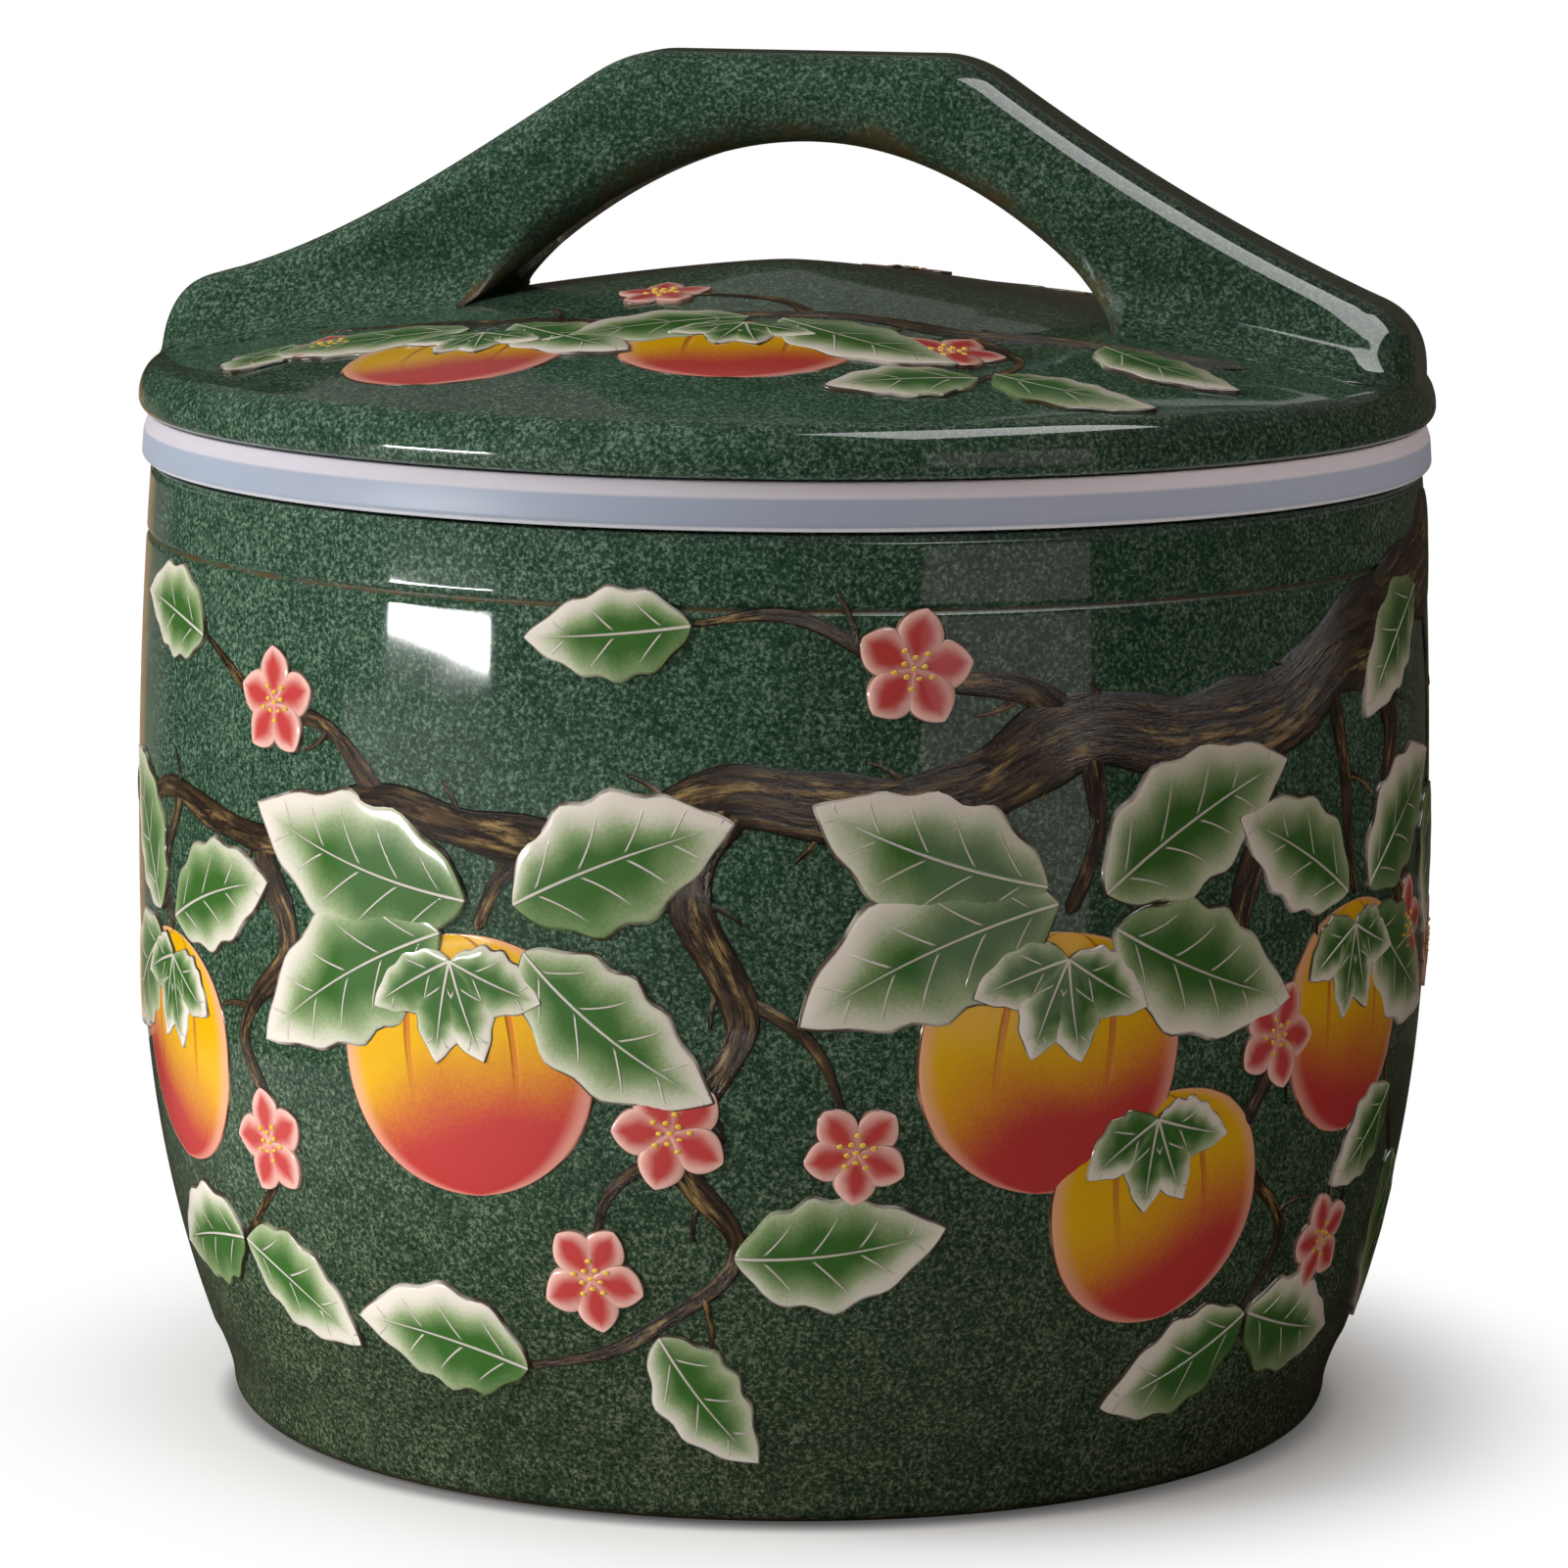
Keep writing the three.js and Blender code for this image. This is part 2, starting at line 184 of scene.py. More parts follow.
class Finishes(bpy.types.PropertyGroup):
    """Colours of the glaze, the clay, the ring and the enamels."""

    glaze_dark: colour("Glaze, dark", srgb(22, 43, 30), "Darkest of the glaze's grain")
    glaze_mid: colour("Glaze, middle", srgb(43, 68, 52), "Body colour of the glaze")
    glaze_light: colour("Glaze, light", srgb(106, 128, 109), "Pale flecks in the glaze")
    glaze_olive: colour("Glaze, olive", (1.0, 0.73, 0.64), "Tint of the thin glaze near the foot")
    glaze_break: colour("Glaze, broken", srgb(76, 60, 34), "Where glaze runs thin over an edge")
    lining: colour("Lining", srgb(226, 220, 204), "Glaze inside the jar and under the lid")
    clay: colour("Clay", srgb(196, 170, 138), "Bare clay of the foot ring")
    silicone: colour("Silicone", srgb(146, 155, 171), "Clear band of the ring")
    # Painted light: this paler colour stands in for the light that falls on the bevel, which faces up
    silicone_milk: colour("Silicone, milky", srgb(186, 182, 190), "Bevel of the ring, where it is thick")
    outline: colour("Outline", srgb(48, 34, 20), "Fine line round each enamel field")
    leaf_deep: colour("Leaf, deep", srgb(52, 92, 38), "Middle of a leaf")
    leaf_soft: colour("Leaf, soft", srgb(138, 156, 112), "Where a leaf's green fades")
    leaf_pale: colour("Leaf, pale", srgb(208, 201, 190), "Margin and veins of a leaf")
    fruit_yellow: colour("Fruit, yellow", srgb(208, 158, 6), "Shoulder of a fruit")
    fruit_red: colour("Fruit, red", srgb(172, 52, 50), "Cheek of a fruit")
    fruit_pale: colour("Fruit, pale", srgb(214, 156, 138), "Margin of a fruit")
    bark_dark: colour("Bark, dark", srgb(28, 19, 12), "Furrows of the bark")
    bark_mid: colour("Bark, middle", srgb(74, 57, 34), "Body colour of the bark")
    bark_light: colour("Bark, light", srgb(146, 120, 74), "Worn ridges of the bark")
    petal_deep: colour("Petal, deep", srgb(174, 60, 58), "Middle of a petal")
    petal_pale: colour("Petal, pale", srgb(216, 172, 160), "Margin of a petal")
    stamen: colour("Stamen", srgb(214, 176, 70), "Stamens of a blossom")


class StageSettings(bpy.types.PropertyGroup):
    """Camera, floor, dark cards and room."""

    azimuth: degrees("Camera azimuth", 12, "Camera's place round the canister, from the front")
    distance: length("Camera distance", 1.25, "Camera to the canister's axis, along the ground")
    height: length("Camera height", 0.3125, "Camera above the ground")
    aim: length("Camera aim", 0.1147, "Height on the axis that the camera looks at")
    roll: degrees("Camera roll", 0.5, "Turn of the camera about its line of sight")
    lens: number("Lens", 156.04, "Focal length in millimetres on a 36 mm sensor")
    light_aim: length("Light aim", 150 * MM, "Height on the axis that the lights face")
    floor_size: length("Floor size", 24.0, "Side of the floor")
    floor_colour: colour("Floor", (0.9, 0.9, 0.9), "Colour of the floor")
    floor_drop: length("Floor drop", 0.2 * MM, "How far the floor lies below the foot, and the dish above it")
    # Painted shadow: the floor under and close round the foot is coloured dark as a contact shadow
    contact_colour: colour("Contact", (0.05, 0.045, 0.04), "Colour of the floor close under the foot")
    contact_inside: length("Contact inside", 0.101, "Radius within which the floor has that colour")
    contact_outside: length("Contact outside", 0.107, "Radius at which that colour has faded")
    shadow_inside: length("Shadow inside", 0.085, "Radius from which the floor goes over to white")
    shadow_outside: length("Shadow outside", 0.165, "Radius from which the floor is plain white")
    flag_radius: length("Flag radius", 0.36, "Dark card behind the canister, from its axis")
    flag_height: length("Flag height", 0.33, "Height of the dark card")
    dish_inside: length("Dish inside", 98.5 * MM, "Inner edge of the dark dish on the floor, under the foot")
    dish_radius: length("Dish radius", 2.4, "Dark dish on the floor, from the canister's axis")
    dish_height: length("Dish height", 0.9, "Height of the dish's side")
    flag_colour: colour("Flag", (0.055, 0.046, 0.036), "Colour of the dark card")
    flag_brown: colour("Flag, brown", (0.9, 0.62, 0.4), "Colour of the dark card's brown band")
    room_colour: colour("Room", (0.13, 0.105, 0.08), "Dim warm light of the room")
    room_sheen: colour("Room, in gloss", (0.15, 0.146, 0.138), "The same room as gloss shows it")


SETTINGS = {
    "canister_jar": JarSizes,
    "canister_seal": SealSizes,
    "canister_lid": LidSizes,
    "canister_handle": HandleSizes,
    "canister_finish": Finishes,
    "canister_stage": StageSettings,
}


def span(start, end, count):
    """Evenly spaced points on a straight line, both ends included."""
    return np.linspace(start, end, count)


def arc(centre, half_axes, start, end, count=9):
    """Points of an ellipse's arc: centre plus the half axes times the cosine and sine of an angle in degrees."""
    angle = np.radians(np.linspace(start, end, count))
    return np.array(centre) + np.stack([np.cos(angle), np.sin(angle)], 1) * half_axes


def bezier(count, *points):
    """Points of a Bezier curve: the control points weighted by the Bernstein polynomials of their number."""
    t = np.linspace(0, 1, count)[:, None]
    order = len(points) - 1
    weights = [math.comb(order, i) * t**i * (1 - t) ** (order - i) for i in range(order + 1)]
    return sum(weight * np.array(point) for weight, point in zip(weights, points))


def soft_corner(count, point, before, after):
    """The Bezier curve of a point between two others, which are given as steps away from it."""
    point = np.array(point)
    return bezier(count, point + before, point, point + after)


def joined(*parts):
    """One polyline out of several, without the points that repeat where they meet."""
    points = np.concatenate([np.atleast_2d(part) for part in parts])
    step = np.linalg.norm(np.diff(points, axis=0), axis=1)
    return points[np.concatenate([[True], step > 1e-7])]


def resampled(points, count):
    """The same polyline with evenly spaced points, by linear interpolation along its length."""
    along = np.concatenate([[0], np.cumsum(np.linalg.norm(np.diff(points, axis=0), axis=1))])
    places = np.linspace(0, along[-1], count)
    return np.stack([np.interp(places, along, column) for column in points.T], 1)


def smooth_path(points, count):
    """A Catmull-Rom curve through the points: a cubic between neighbours whose end slopes are half the chord across."""
    knots = np.array(points, float)
    padded = np.concatenate([[2 * knots[0] - knots[1]], knots, [2 * knots[-1] - knots[-2]]])
    t = np.linspace(0, 1, 24, endpoint=False)[None, :, None]
    before, start, end, after = (padded[i : len(padded) - 3 + i, None, :] for i in range(4))
    curve = start + 0.5 * t * (
        end - before
        + t * (2 * before - 5 * start + 4 * end - after + t * (3 * (start - end) + after - before))
    )
    return resampled(np.concatenate([curve.reshape(-1, knots.shape[1]), knots[-1:]]), count)


def ease(value, low, high):
    """0 below low, 1 above high, and the cubic 3t^2 - 2t^3 between."""
    t = np.clip((value - low) / (high - low), 0, 1)
    return t * t * (3 - 2 * t)


def grid_faces(rows, columns, wrap_rows=False):
    """Quads of a grid whose columns close on themselves, and its rows too if asked."""
    row = np.arange(rows if wrap_rows else rows - 1)[:, None] * columns
    column = np.arange(columns)[None, :]
    row_up = (row + columns) % (rows * columns)
    column_up = (column + 1) % columns
    quads = [row + column, row + column_up, row_up + column_up, row_up + column]
    return np.stack(quads, -1).reshape(-1, 4)


def fan_faces(hub, ring):
    """Triangles from a hub point to each step of a ring of points."""
    return np.stack([np.full_like(ring, hub), ring, np.roll(ring, -1)], -1)


def turned(profile, values):
    """A surface of revolution: each (radius, height) point of the profile carried round Z.
    An open profile starts and ends on the axis, where a fan closes it. Values are per profile point."""
    closed = profile[0, 0] > 0
    rings = profile if closed else profile[1:-1]
    angle = np.linspace(0, 2 * np.pi, TURNED_SIDES, endpoint=False)
    radius, height = rings[:, :1], np.repeat(rings[:, 1:], TURNED_SIDES, 1)
    points = np.stack([radius * np.cos(angle), radius * np.sin(angle), height], -1).reshape(-1, 3)
    faces = grid_faces(len(rings), TURNED_SIDES, wrap_rows=closed).tolist()
    if closed:
        return points, faces, np.repeat(values, TURNED_SIDES, 0)
    hub = len(points)
    first = np.arange(TURNED_SIDES)
    faces += fan_faces(hub, first[::-1]).tolist()
    faces += fan_faces(hub + 1, first + hub - TURNED_SIDES).tolist()
    poles = [[0, 0, profile[0, 1]], [0, 0, profile[-1, 1]]]
    values = np.concatenate([np.repeat(values[1:-1], TURNED_SIDES, 0), values[[0, -1]]])
    return np.concatenate([points, poles]), faces, values


def add_mesh(name, points, faces, finish, **attributes):
    """A smooth mesh object of those points and faces, with one vector per point for each attribute."""
    mesh = bpy.data.meshes.new(name)
    mesh.from_pydata(np.asarray(points).tolist(), [], faces)
    mesh.polygons.foreach_set("use_smooth", np.ones(len(mesh.polygons), bool))
    for title, values in attributes.items():
        layer = mesh.attributes.new(title, "FLOAT_VECTOR", "POINT")
        layer.data.foreach_set("vector", np.asarray(values, np.float32).ravel())
    mesh.update()
    mesh.materials.append(finish)
    made = bpy.data.objects.new(name, mesh)
    bpy.context.scene.collection.objects.link(made)
    return made


def add_piece(name, points, faces, finish, body, slot, **attributes):
    """A mesh object that rides on a body. The slot is not used."""
    piece = add_mesh(name, points, faces, finish, **attributes)
    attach(piece, body)
    return piece


class Value:
    """A node's output that takes part in Python expressions: each operator adds one Math node."""

    def __init__(self, finish, socket):
        self.finish = finish
        self.socket = socket

    def math(self, operation, *values):
        return self.finish.node("ShaderNodeMath", {"operation": operation}, dict(enumerate(values)))

    def __add__(self, other):
        return self.math("ADD", self, other)

    def __sub__(self, other):
        return self.math("SUBTRACT", self, other)

    def __rsub__(self, other):
        return self.math("SUBTRACT", other, self)

    def __mul__(self, other):
        return self.math("MULTIPLY", self, other)

    def __abs__(self):
        return self.math("ABSOLUTE", self)

    def fraction(self):
        return self.math("FRACT", self)

    __radd__ = __add__


class Finish:
    """One material, or the room's light: its shader, the constant values, and the nodes that vary over it."""

    def __init__(self, name, room=False, **constants):
        self.material = bpy.data.worlds.new(name) if room else bpy.data.materials.new(name)
        self.material.use_nodes = True
        self.tree = self.material.node_tree
        self.shader = self.tree.nodes["Background" if room else "Principled BSDF"]
        for title, value in constants.items():
            self.shader.inputs[title.replace("_", " ").title().replace("Ior", "IOR")].default_value = value

    def node(self, kind, settings=None, inputs=None, output=0):
        """Adds a node of that type, sets it, feeds its inputs by name or number, and gives one output."""
        made = self.tree.nodes.new(kind)
        for title, value in (settings or {}).items():
            setattr(made, title, value)
        for title, value in (inputs or {}).items():
            self.feed(made.inputs[title], value)
        return Value(self, made.outputs[output])

    def feed(self, socket, value):
        if isinstance(value, Value):
            self.tree.links.new(value.socket, socket)
        elif socket.type == "RGBA":
            socket.default_value = (*value, 1)
        else:
            socket.default_value = value

    def give(self, **inputs):
        """Links what varies over the surface to the shader."""
        for title, value in inputs.items():
            self.feed(self.shader.inputs[title.replace("_", " ").title()], value)
        return self.material

    def place(self):
        return self.node("ShaderNodeTexCoord", output="Object")

    def attribute(self, title):
        """The three parts of a vector attribute of the mesh."""
        vector = self.node("ShaderNodeAttribute", {"attribute_name": title}, output="Vector")
        split = self.node("ShaderNodeSeparateXYZ", None, {0: vector})
        return [Value(self, socket) for socket in split.socket.node.outputs]

    def vector(self, *parts):
        return self.node("ShaderNodeCombineXYZ", None, dict(enumerate(parts)))

    def noise(self, place, scale, detail=2.0, roughness=0.5):
        inputs = {"Vector": place, "Scale": scale, "Detail": detail, "Roughness": roughness}
        return self.node("ShaderNodeTexNoise", None, inputs)

    def step(self, value, low, high):
        """0 below low, 1 above high, smooth between; the other way round if low is above high."""
        settings = {"interpolation_type": "SMOOTHSTEP"}
        if low > high:
            return 1 - self.step(value, high, low)
        return self.node("ShaderNodeMapRange", settings, {0: value, 1: low, 2: high})

    def mix(self, share, first, second, blend="MIX"):
        settings = {"data_type": "RGBA", "blend_type": blend}
        return self.node("ShaderNodeMix", settings, {0: share, 6: first, 7: second}, output=2)

    def seen(self):
        """1 for what the camera, gloss and clear things see, and 0 for light that falls on a surface."""
        rays = self.node("ShaderNodeLightPath").socket.node.outputs
        kinds = [Value(self, rays[f"Is {kind} Ray"]) for kind in ("Camera", "Glossy", "Transmission")]
        return self.step(kinds[0] + kinds[1] + kinds[2], 0.0, 1.0)

    def bump(self, height, distance, strength=1.0):
        inputs = {"Height": height, "Distance": distance, "Strength": strength}
        return self.node("ShaderNodeBump", None, inputs)


def speckled_glaze(colours):
    """Glossy reactive glaze: fine pale grain over dark green, olive where it runs thin, brown where it breaks
    over an edge. The coat attribute holds the shares of broken glaze, of lining and of bare clay."""
    finish = Finish("speckled_glaze", ior=1.43)
    place = finish.place()
    broken, lining, bare = finish.attribute("coat")
    height = finish.node("ShaderNodeSeparateXYZ", None, {0: place}, output="Z")
    grain = finish.noise(place, 1250, 1.0, 0.6)
    dust = finish.noise(place, 2700, 0.0)
    cloud = finish.noise(place, 22, 3.0, 0.6)
    thin = finish.noise(place, 130, 3.0, 0.6)
    fleck = grain * 0.7 + dust * 0.3 + (cloud - 0.5) * 0.13 + (thin - 0.5) * 0.17
    green = finish.mix(finish.step(fleck, 0.30, 0.52), colours.glaze_dark, colours.glaze_mid)
    green = finish.mix(finish.step(fleck, 0.47, 0.74) * 0.9, green, colours.glaze_light)
    low = finish.step(height + (cloud - 0.5) * 0.06, 0.13, 0.005)
    green = finish.mix(low, green, colours.glaze_olive, "MULTIPLY")
    worn = finish.step(broken + (thin - 0.5) * 1.1, 0.38, 0.95)
    body = finish.mix(worn, green, colours.glaze_break)
    body = finish.mix(lining, body, colours.lining)
    body = finish.mix(bare, body, colours.clay)
    ripple = finish.noise(place, 55, 1.0)
    return finish.give(
        base_color=body,
        roughness=0.05 + bare * 0.6 + finish.step(broken, 0.15, 0.55) * 0.35,
        normal=finish.bump(ripple, 0.0004, 0.3),
    )


def clear_silicone(colours):
    """Satin translucent rubber: light travels about a millimetre in it. Its attribute gives the share of painted light
    that lightens the bevel, as if lit from above, and the share of the painted highlight along its lower edge."""
    finish = Finish("clear_silicone", ior=1.41, subsurface_weight=0.4, subsurface_scale=0.0012)
    finish.shader.inputs["Subsurface Radius"].default_value = (1.0, 1.0, 1.1)
    place = finish.place()
    milk, lip, _ = finish.attribute("milk")
    haze = finish.noise(place, 40, 2.0)
    shade = finish.mix(finish.step(haze, 0.3, 0.8) * 0.25, colours.silicone, (0.28, 0.30, 0.36))
    # Painted light: the bevel is mixed towards a paler colour, as if lit from above
    shade = finish.mix(milk, shade, colours.silicone_milk)
    # Painted highlight: a pale line along the ring's lower edge
    shade = finish.mix(lip * 0.8, shade, (0.78, 0.77, 0.8))
    return finish.give(
        base_color=shade,
        roughness=0.32 + haze * 0.12,
        normal=finish.bump(finish.noise(place, 900, 1.0), 0.00005, 0.3),
    )


def enamel(name):
    """What most enamels share: a glossy shader, the shares along and across a field with the distance to its margin
    in millimetres, and the way run, the way aside and the chance tone of the field."""
    finish = Finish(name, ior=1.5, roughness=0.1)
    along, across, rim = finish.attribute("brush")
    run, side, tone = finish.attribute("spot")
    return finish, along, across, rim, run, side, tone


def outlined(finish, body, rim, colours, width):
    """Draws the fine line, heavier and lighter by turns, where the margin is nearer than the width."""
    press = finish.step(finish.noise(finish.place(), 110, 2.0), 0.36, 0.58)
    return finish.mix(finish.step(rim, width, width * 0.5) * (0.35 + press * 0.6), body, colours.outline)


def leaf_enamel(colours):
    """Green sprayed softly from the base, paler towards the tip, the margin and one side, with tapered raised
    strokes for the midrib and the side veins."""
    finish, along, across, rim, run, side, tone = enamel("leaf_enamel")
    place = finish.place()
    cloud = finish.noise(place, 50, 1.0)
    mist = finish.noise(place, 1500, 1.0)
    lean = across * ((tone * 7.3).fraction() - 0.5) * 6
    depth = rim * 0.75 + (cloud - 0.5) * 3 + (mist - 0.5) * 1.2 + (0.5 - along) * (2 + tone * 5) + lean
    body = finish.mix(finish.step(depth, -1.0, 4.2), colours.leaf_pale, colours.leaf_soft)
    body = finish.mix(finish.step(depth, 1.4, 7.0), body, colours.leaf_deep)
    midrib = finish.step(abs(side) + along * 0.22, 0.42, 0.2) * finish.step(along, 0.9, 0.7)
    sweep = run * 0.115 - abs(side) * 0.13 + side * side * 0.0035 + (cloud - 0.5) * 0.2
    vein = abs(sweep.fraction() - 0.5) + abs(across) * 0.02
    reach = finish.step(abs(across), 0.74, 0.5) * finish.step(abs(side), 0.5, 1.2)
    stroke = midrib + finish.step(vein, 0.045, 0.022) * reach * finish.step(along, 0.06, 0.16)
    body = finish.mix(stroke * 0.8, body, colours.leaf_pale)
    body = outlined(finish, body, rim, colours, 0.9)
    return finish.give(base_color=body, roughness=0.1 + cloud * 0.04, normal=finish.bump(stroke, 0.0003))


def fruit_enamel(colours):
    """Yellow at the shoulder, sprayed over with red towards the cheek, and pale at the margin."""
    finish, along, across, rim, _, _, tone = enamel("fruit_enamel")
    place = finish.place()
    cloud = finish.noise(place, 40, 1.0)
    mist = finish.noise(place, 1500, 1.0)
    spray = along + across * (tone - 0.5) * 0.5 + (cloud - 0.5) * 0.3 + (mist - 0.5) * 0.12
    body = finish.mix(finish.step(spray, 0.38, 0.8), colours.fruit_yellow, colours.fruit_red)
    pale = finish.step(rim + (cloud - 0.5) * 2, 4.5, 0.2)
    body = finish.mix(pale * 0.75, body, colours.fruit_pale)
    crease = finish.step(abs(abs(across) - 0.42), 0.035, 0.012) * finish.step(along, 0.7, 0.3)
    body = finish.mix(crease * 0.6, body, colours.fruit_red)
    body = outlined(finish, body, rim, colours, 0.7)
    return finish.give(base_color=body, roughness=0.1 + cloud * 0.04, normal=finish.bump(crease * -1.0, 0.0003))


def bark_enamel(colours):
    """Brown brushed on in streaks along the branch, dark in the furrows and along both sides."""
    finish, _, across, _, run, side, tone = enamel("bark_enamel")
    streaks = finish.noise(finish.vector(run * 0.11, side * 0.75, tone * 40), 1.0, 5.0, 0.75)
    knots = finish.noise(finish.vector(run * 0.09, side * 0.22, tone * 70), 1.0, 2.0)
    body = finish.mix(finish.step(streaks, 0.40, 0.62), colours.bark_dark, colours.bark_mid)
    body = finish.mix(finish.step(streaks, 0.48, 0.66) * finish.step(knots, 0.42, 0.58), body, colours.bark_light)
    body = finish.mix(finish.step(abs(across), 0.55, 0.95) * 0.85, body, colours.bark_dark)
    return finish.give(base_color=body, roughness=0.12 + streaks * 0.16, normal=finish.bump(streaks, 0.0012, 0.8))


def petal_enamel(colours):
    """Deep pink in the middle, fading to a pale margin."""
    finish, along, across, rim, _, _, _ = enamel("petal_enamel")
    cloud = finish.noise(finish.place(), 300, 2.0)
    inner = finish.step(rim + (cloud - 0.5) * 1.6 + (0.5 - along) * 1.2, 0.2, 3.4)
    body = finish.mix(inner, colours.petal_pale, colours.petal_deep)
    ray = finish.step(abs((across * 3.5).fraction() - 0.5), 0.06, 0.02) * finish.step(along, 0.6, 0.2)
    body = finish.mix(ray * 0.35, body, colours.fruit_red)
    body = outlined(finish, body, rim, colours, 0.55)
    return finish.give(base_color=body, roughness=0.1 + cloud * 0.04)


def stamen_enamel(colours):
    """Raised dots of yellow slip."""
    finish = Finish("stamen_enamel", ior=1.5, roughness=0.2)
    cloud = finish.noise(finish.place(), 900, 1.0)
    return finish.give(base_color=finish.mix(cloud * 0.5, colours.stamen, colours.fruit_yellow))


def pale_paper(stage):
    """Matt paper with a painted contact shadow, dark where it meets the foot, that the lights shade near the canister,
    and that goes over to plain white further off for what the camera, gloss and clear things see."""
    finish = Finish("pale_paper", roughness=0.9)
    place = finish.place()
    soft = tuple(value * 0.97 for value in stage.floor_colour)
    away = finish.node("ShaderNodeVectorMath", {"operation": "LENGTH"}, {0: place}, output="Value")
    paper = finish.mix(finish.noise(place, 3.0, 2.0), stage.floor_colour, soft)
    # Painted shadow: a dark ring on the floor round the foot
    painted_shadow = finish.step(away, stage.contact_outside, stage.contact_inside) * 0.8
    finish.give(base_color=finish.mix(painted_shadow, paper, stage.contact_colour))
    share = finish.seen() * finish.step(away, stage.shadow_inside, stage.shadow_outside)
    glow = finish.node("ShaderNodeEmission", None, {"Color": (1, 1, 1), "Strength": 1.0})
    lit = Value(finish, finish.shader.outputs[0])
    mixed = finish.node("ShaderNodeMixShader", None, {0: share, 1: lit, 2: glow})
    finish.feed(finish.tree.nodes["Material Output"].inputs["Surface"], mixed)
    return finish.material


def dim_room(stage):
    """Dim light all round, warm where it falls on things and plainer in gloss. For what is seen, the floor's white
    goes on above the horizon and then fades out."""
    finish = Finish("room", room=True)
    way = finish.node("ShaderNodeTexCoord", output="Generated")
    height = finish.node("ShaderNodeSeparateXYZ", None, {0: way}, output="Z")
    seen = finish.seen()
    room = finish.mix(seen, stage.room_colour, stage.room_sheen)
    return finish.give(color=finish.mix(seen * finish.step(height, 0.18, 0.08), room, (1, 1, 1)))


def dark_cloth(stage):
    """Dull cloth whose shade attribute gives the shares of brown and of white."""
    finish = Finish("dark_cloth", roughness=1.0, specular_ior_level=0.0)
    brown, white, _ = finish.attribute("shade")
    weave = finish.noise(finish.place(), 40, 2.0)
    body = finish.mix(weave, stage.flag_colour, tuple(value * 0.8 for value in stage.flag_colour))
    body = finish.mix(brown, body, stage.flag_brown)
    return finish.give(base_color=finish.mix(white, body, stage.floor_colour))


def finish_of(make, colours):
    """The material that a function makes, made only once."""
    return bpy.data.materials.get(make.__name__) or make(colours)


def belly_radius(jar, height):
    """The wall falls away from its widest place by a square up to the neck and by a higher power down to the waist."""
    up = (height - jar.belly_height) / (jar.ledge_height - jar.belly_height)
    down = (jar.belly_height - height) / (jar.belly_height - jar.waist_height)
    drop_up = (jar.belly_radius - jar.neck_radius) * np.clip(up, 0, None) ** 2
    drop_down = (jar.belly_radius - jar.waist_radius) * np.clip(down, 0, None) ** jar.belly_fullness
    return jar.belly_radius - drop_up - drop_down


def scored_wall(jar, heights):
    """The outside wall with the scored line: a groove of bell shape at its height."""
    groove = jar.score_depth * np.exp(-(((heights - jar.score_height) / (jar.score_width * 0.35)) ** 2))
    return np.stack([belly_radius(jar, heights) - groove, heights], 1)


def jar_profile(jar):
    """Half section of the jar, from the middle of its underside up the outside, over the lip and down the inside."""
    ring_outside = jar.foot_radius - jar.foot_round
    ring_inside = ring_outside - jar.foot_ring
    lip = jar.neck_radius - jar.lip_setback
    mouth = lip - jar.lip_thickness
    floor_top = jar.foot_recess + jar.floor
    fillet_top = floor_top + jar.floor_fillet
    mouth_low = jar.rim_height - jar.mouth_depth
    wall_top = mouth_low - jar.mouth_flare
    inside = span(wall_top, fillet_top, 36)
    inside_wall = np.stack([belly_radius(jar, inside) - jar.wall, inside], 1)
    foot_top = (jar.foot_radius + jar.foot_flare, jar.foot_height)
    waist = (jar.waist_radius, jar.waist_height)
    ledge_round = 0.9 * MM
    fine = 3 * jar.score_width
    heights = np.concatenate([
        span(jar.waist_height, jar.score_height - fine, 70),
        span(jar.score_height - fine, jar.score_height + fine, 33)[1:],
        span(jar.score_height + fine, jar.ledge_height - ledge_round, 6)[1:],
    ])
    round_axes = (jar.lip_round, jar.lip_round)
    return joined(
        span((0, jar.foot_recess), (ring_inside - jar.foot_recess, jar.foot_recess), 8),
        bezier(7, (ring_inside - jar.foot_recess, jar.foot_recess), (ring_inside - MM, 0.4 * MM), (ring_inside, 0)),
        span((ring_inside, 0), (ring_outside, 0), 5),
        arc((ring_outside, jar.foot_round), (jar.foot_round, jar.foot_round), -90, 0, 12),
        bezier(14, (jar.foot_radius, jar.foot_round), (jar.foot_radius + 0.3 * MM, 8 * MM), foot_top,
               (waist[0] - 1.4 * MM, waist[1] - 2.2 * MM), waist),
        scored_wall(jar, heights),
        arc((jar.neck_radius - ledge_round, jar.ledge_height - ledge_round), (ledge_round, ledge_round), 0, 90, 6),
        span((jar.neck_radius - ledge_round, jar.ledge_height), (lip, jar.ledge_height), 3),
        arc((lip - jar.lip_round, jar.rim_height - jar.lip_round), round_axes, 0, 90),
        arc((mouth + jar.lip_round, jar.rim_height - jar.lip_round), round_axes, 90, 180),
        bezier(16, (mouth, mouth_low), (mouth, mouth_low - jar.mouth_flare / 2),
               inside_wall[0] + (0, jar.mouth_flare / 3), inside_wall[0]),
        inside_wall,
        bezier(16, inside_wall[-1], (jar.waist_radius - jar.wall, floor_top),
               (inside_wall[-1, 0] - jar.floor_fillet, floor_top)),
        span((inside_wall[-1, 0] - jar.floor_fillet, floor_top), (0, floor_top), 10),
    )


